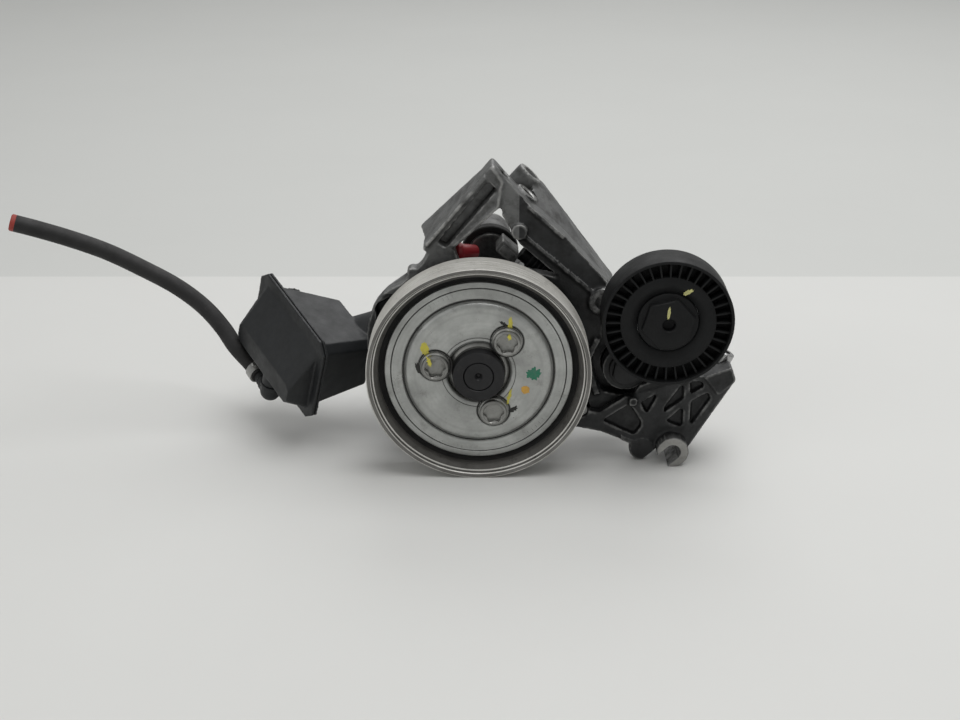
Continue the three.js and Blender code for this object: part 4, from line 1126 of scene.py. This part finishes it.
# ---- return hose: one stiff moulded length, with a plug in its far end ----
HOSE_PATH = [ELBOW + LONG_EDGE * 12.3, ELBOW + LONG_EDGE * 21.5]
HOSE_PATH += [Vector(at) for at in (
    (-133.4, 74, -13.6), (-140.5, 78, -4), (-150, 81, 6.5), (-164, 82, 18), (-182.5, 82, 29),
    (-201, 81, 39), (-219.5, 80, 46.5), (-237.5, 78, 53), (-248, 76.5, 56.5))]
SPLINE_STEPS = 8


def blend(a, b, start, end, t):
    """Between a at start and b at end."""
    return a * ((end - t) / (end - start)) + b * ((t - start) / (end - start))


def smooth_route(points):
    """Centripetal Catmull-Rom curve through the points."""
    ends = [points[0] * 2 - points[1], *points, points[-1] * 2 - points[-2]]
    route = []
    for a, b, c, d in zip(ends, ends[1:], ends[2:], ends[3:]):
        ta = math.sqrt((b - a).length)
        tb = ta + math.sqrt((c - b).length)
        tc = tb + math.sqrt((d - c).length)
        for i in range(SPLINE_STEPS):
            t = ta + (tb - ta) * i / SPLINE_STEPS
            bc = blend(b, c, ta, tb, t)
            abc = blend(blend(a, b, 0, ta, t), bc, 0, tb, t)
            bcd = blend(bc, blend(c, d, tb, tc, t), ta, tc, t)
            route.append(blend(abc, bcd, ta, tb, t))
    return [*route, points[-1]]


def swept(route, radius):
    """Round bar along a route."""
    sides = 36
    vertices = []
    side = Vector((0, 1, 0))
    for i, here in enumerate(route):
        ahead = (route[min(i + 1, len(route) - 1)] - route[max(i - 1, 0)]).normalized()
        side = (side - ahead * side.dot(ahead)).normalized()
        up = ahead.cross(side)
        for k in range(sides):
            around = 2 * math.pi * k / sides
            vertices.append(here + (side * math.cos(around) + up * math.sin(around)) * radius)
    return new_solid(vertices, wire_faces(len(route), sides))


def hose():
    route = smooth_route(HOSE_PATH)
    line = bevelled(swept(route, HOSE_R), 0.5, 2, 60)
    place(line, "return_hose", PUMP, [HOSE_RUBBER], ["hose"])
    band = tube(HOSE_R + 0.1, HOSE_R + 0.95, 0, 5.4, 72, 0.2)
    ear = bevelled(box(-2.2, 2.2, 1, 4.4, HOSE_R + 0.2, HOSE_R + 2.4), 0.5, 2)
    screw = aimed(rod(1.2, -3.2, 3.2, 24, chamfer=0.3), Vector((0, 2.7, HOSE_R + 1.9)), (1, 0, 0))
    clamp = aimed(heap(band, ear, screw), ELBOW + LONG_EDGE * 13.4, LONG_EDGE)
    place(clamp, "band_clamp", PUMP, [CLAMP_STEEL], ["hose_clamp"])
    heading = (route[-1] - route[-2]).normalized()
    cap = turned([(0, -0.3), (HOSE_R - 0.1, -0.3), (HOSE_R + 0.05, 0.1), (HOSE_R + 0.05, 1.6),
                  (HOSE_R - 0.6, 2.3), (2.4, 2.4), (1.9, 2.0), (1.8, 0.2), (0, 0.2), (0, -0.3)], 64)
    cap = aimed(cap, HOSE_PATH[-1], heading)
    place(cap, "red_end_plug", PUMP, [RED_RUBBER], ["hose_end_plug"])


hose()


# ---- inner parts keep their CAD shape, in bearing steel, the seal in rubber ----
for node_name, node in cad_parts.items():
    finish = BLACK_RUBBER if node_name == "shaft_seal" else BEARING_STEEL
    for material_slot in node.material_slots:
        material_slot.material = finish
    if not node.material_slots:
        node.data.materials.append(finish)


# ---- floor, light and world ----
def floor(name, x0, x1, y0, y1, colour):
    mesh = bpy.data.meshes.new(name)
    mesh.from_pydata([(x0, y0, 0), (x1, y0, 0), (x1, y1, 0), (x0, y1, 0)], [], [(0, 1, 2, 3)])
    obj = linked(name, mesh)
    look = Look(name)
    tint = tuple(0.975 * c for c in colour)
    look.colour(look.mix(look.ramp(look.noise(4, 5), 0.3, 0.7), tint, colour))
    look.shader.inputs["Roughness"].default_value = 0.6
    look.shader.inputs["Specular IOR Level"].default_value = 0.25
    mesh.materials.append(look.material)


BACK_LINE = 0.262   # where the lighter floor ends, in metres
FLOOR_REACH = 6
floor("floor", -FLOOR_REACH, FLOOR_REACH, -FLOOR_REACH, BACK_LINE, (0.64, 0.64, 0.625))
floor("floor_beyond", -FLOOR_REACH, FLOOR_REACH, BACK_LINE, FLOOR_REACH, (0.565, 0.57, 0.555))


LIT_POINT = Vector((0, 0, 0.05))


def area_light(name, at, size, power):
    """Rectangular lamp, in metres and watts."""
    data = bpy.data.lights.new(name, "AREA")
    data.shape = "RECTANGLE"
    data.size, data.size_y = size
    data.energy = power
    light = linked(name, data)
    light.location = at
    light.rotation_euler = (LIT_POINT - Vector(at)).to_track_quat("-Z", "Y").to_euler()


area_light("key", (0.3, -0.1, 1.6), (1.5, 1.1), 17)
area_light("fill", (-1.3, -1.1, 0.8), (1.2, 1.0), 3)
area_light("back", (0.3, 1.3, 1.2), (1.5, 0.8), 7)
world = bpy.data.worlds.new("world")
world.use_nodes = True
sky = world.node_tree.nodes["Background"].inputs
sky["Color"].default_value = (0.98, 0.985, 0.97, 1)
sky["Strength"].default_value = 0.42
bpy.context.scene.world = world
bpy.context.scene.view_settings.view_transform = "Standard"
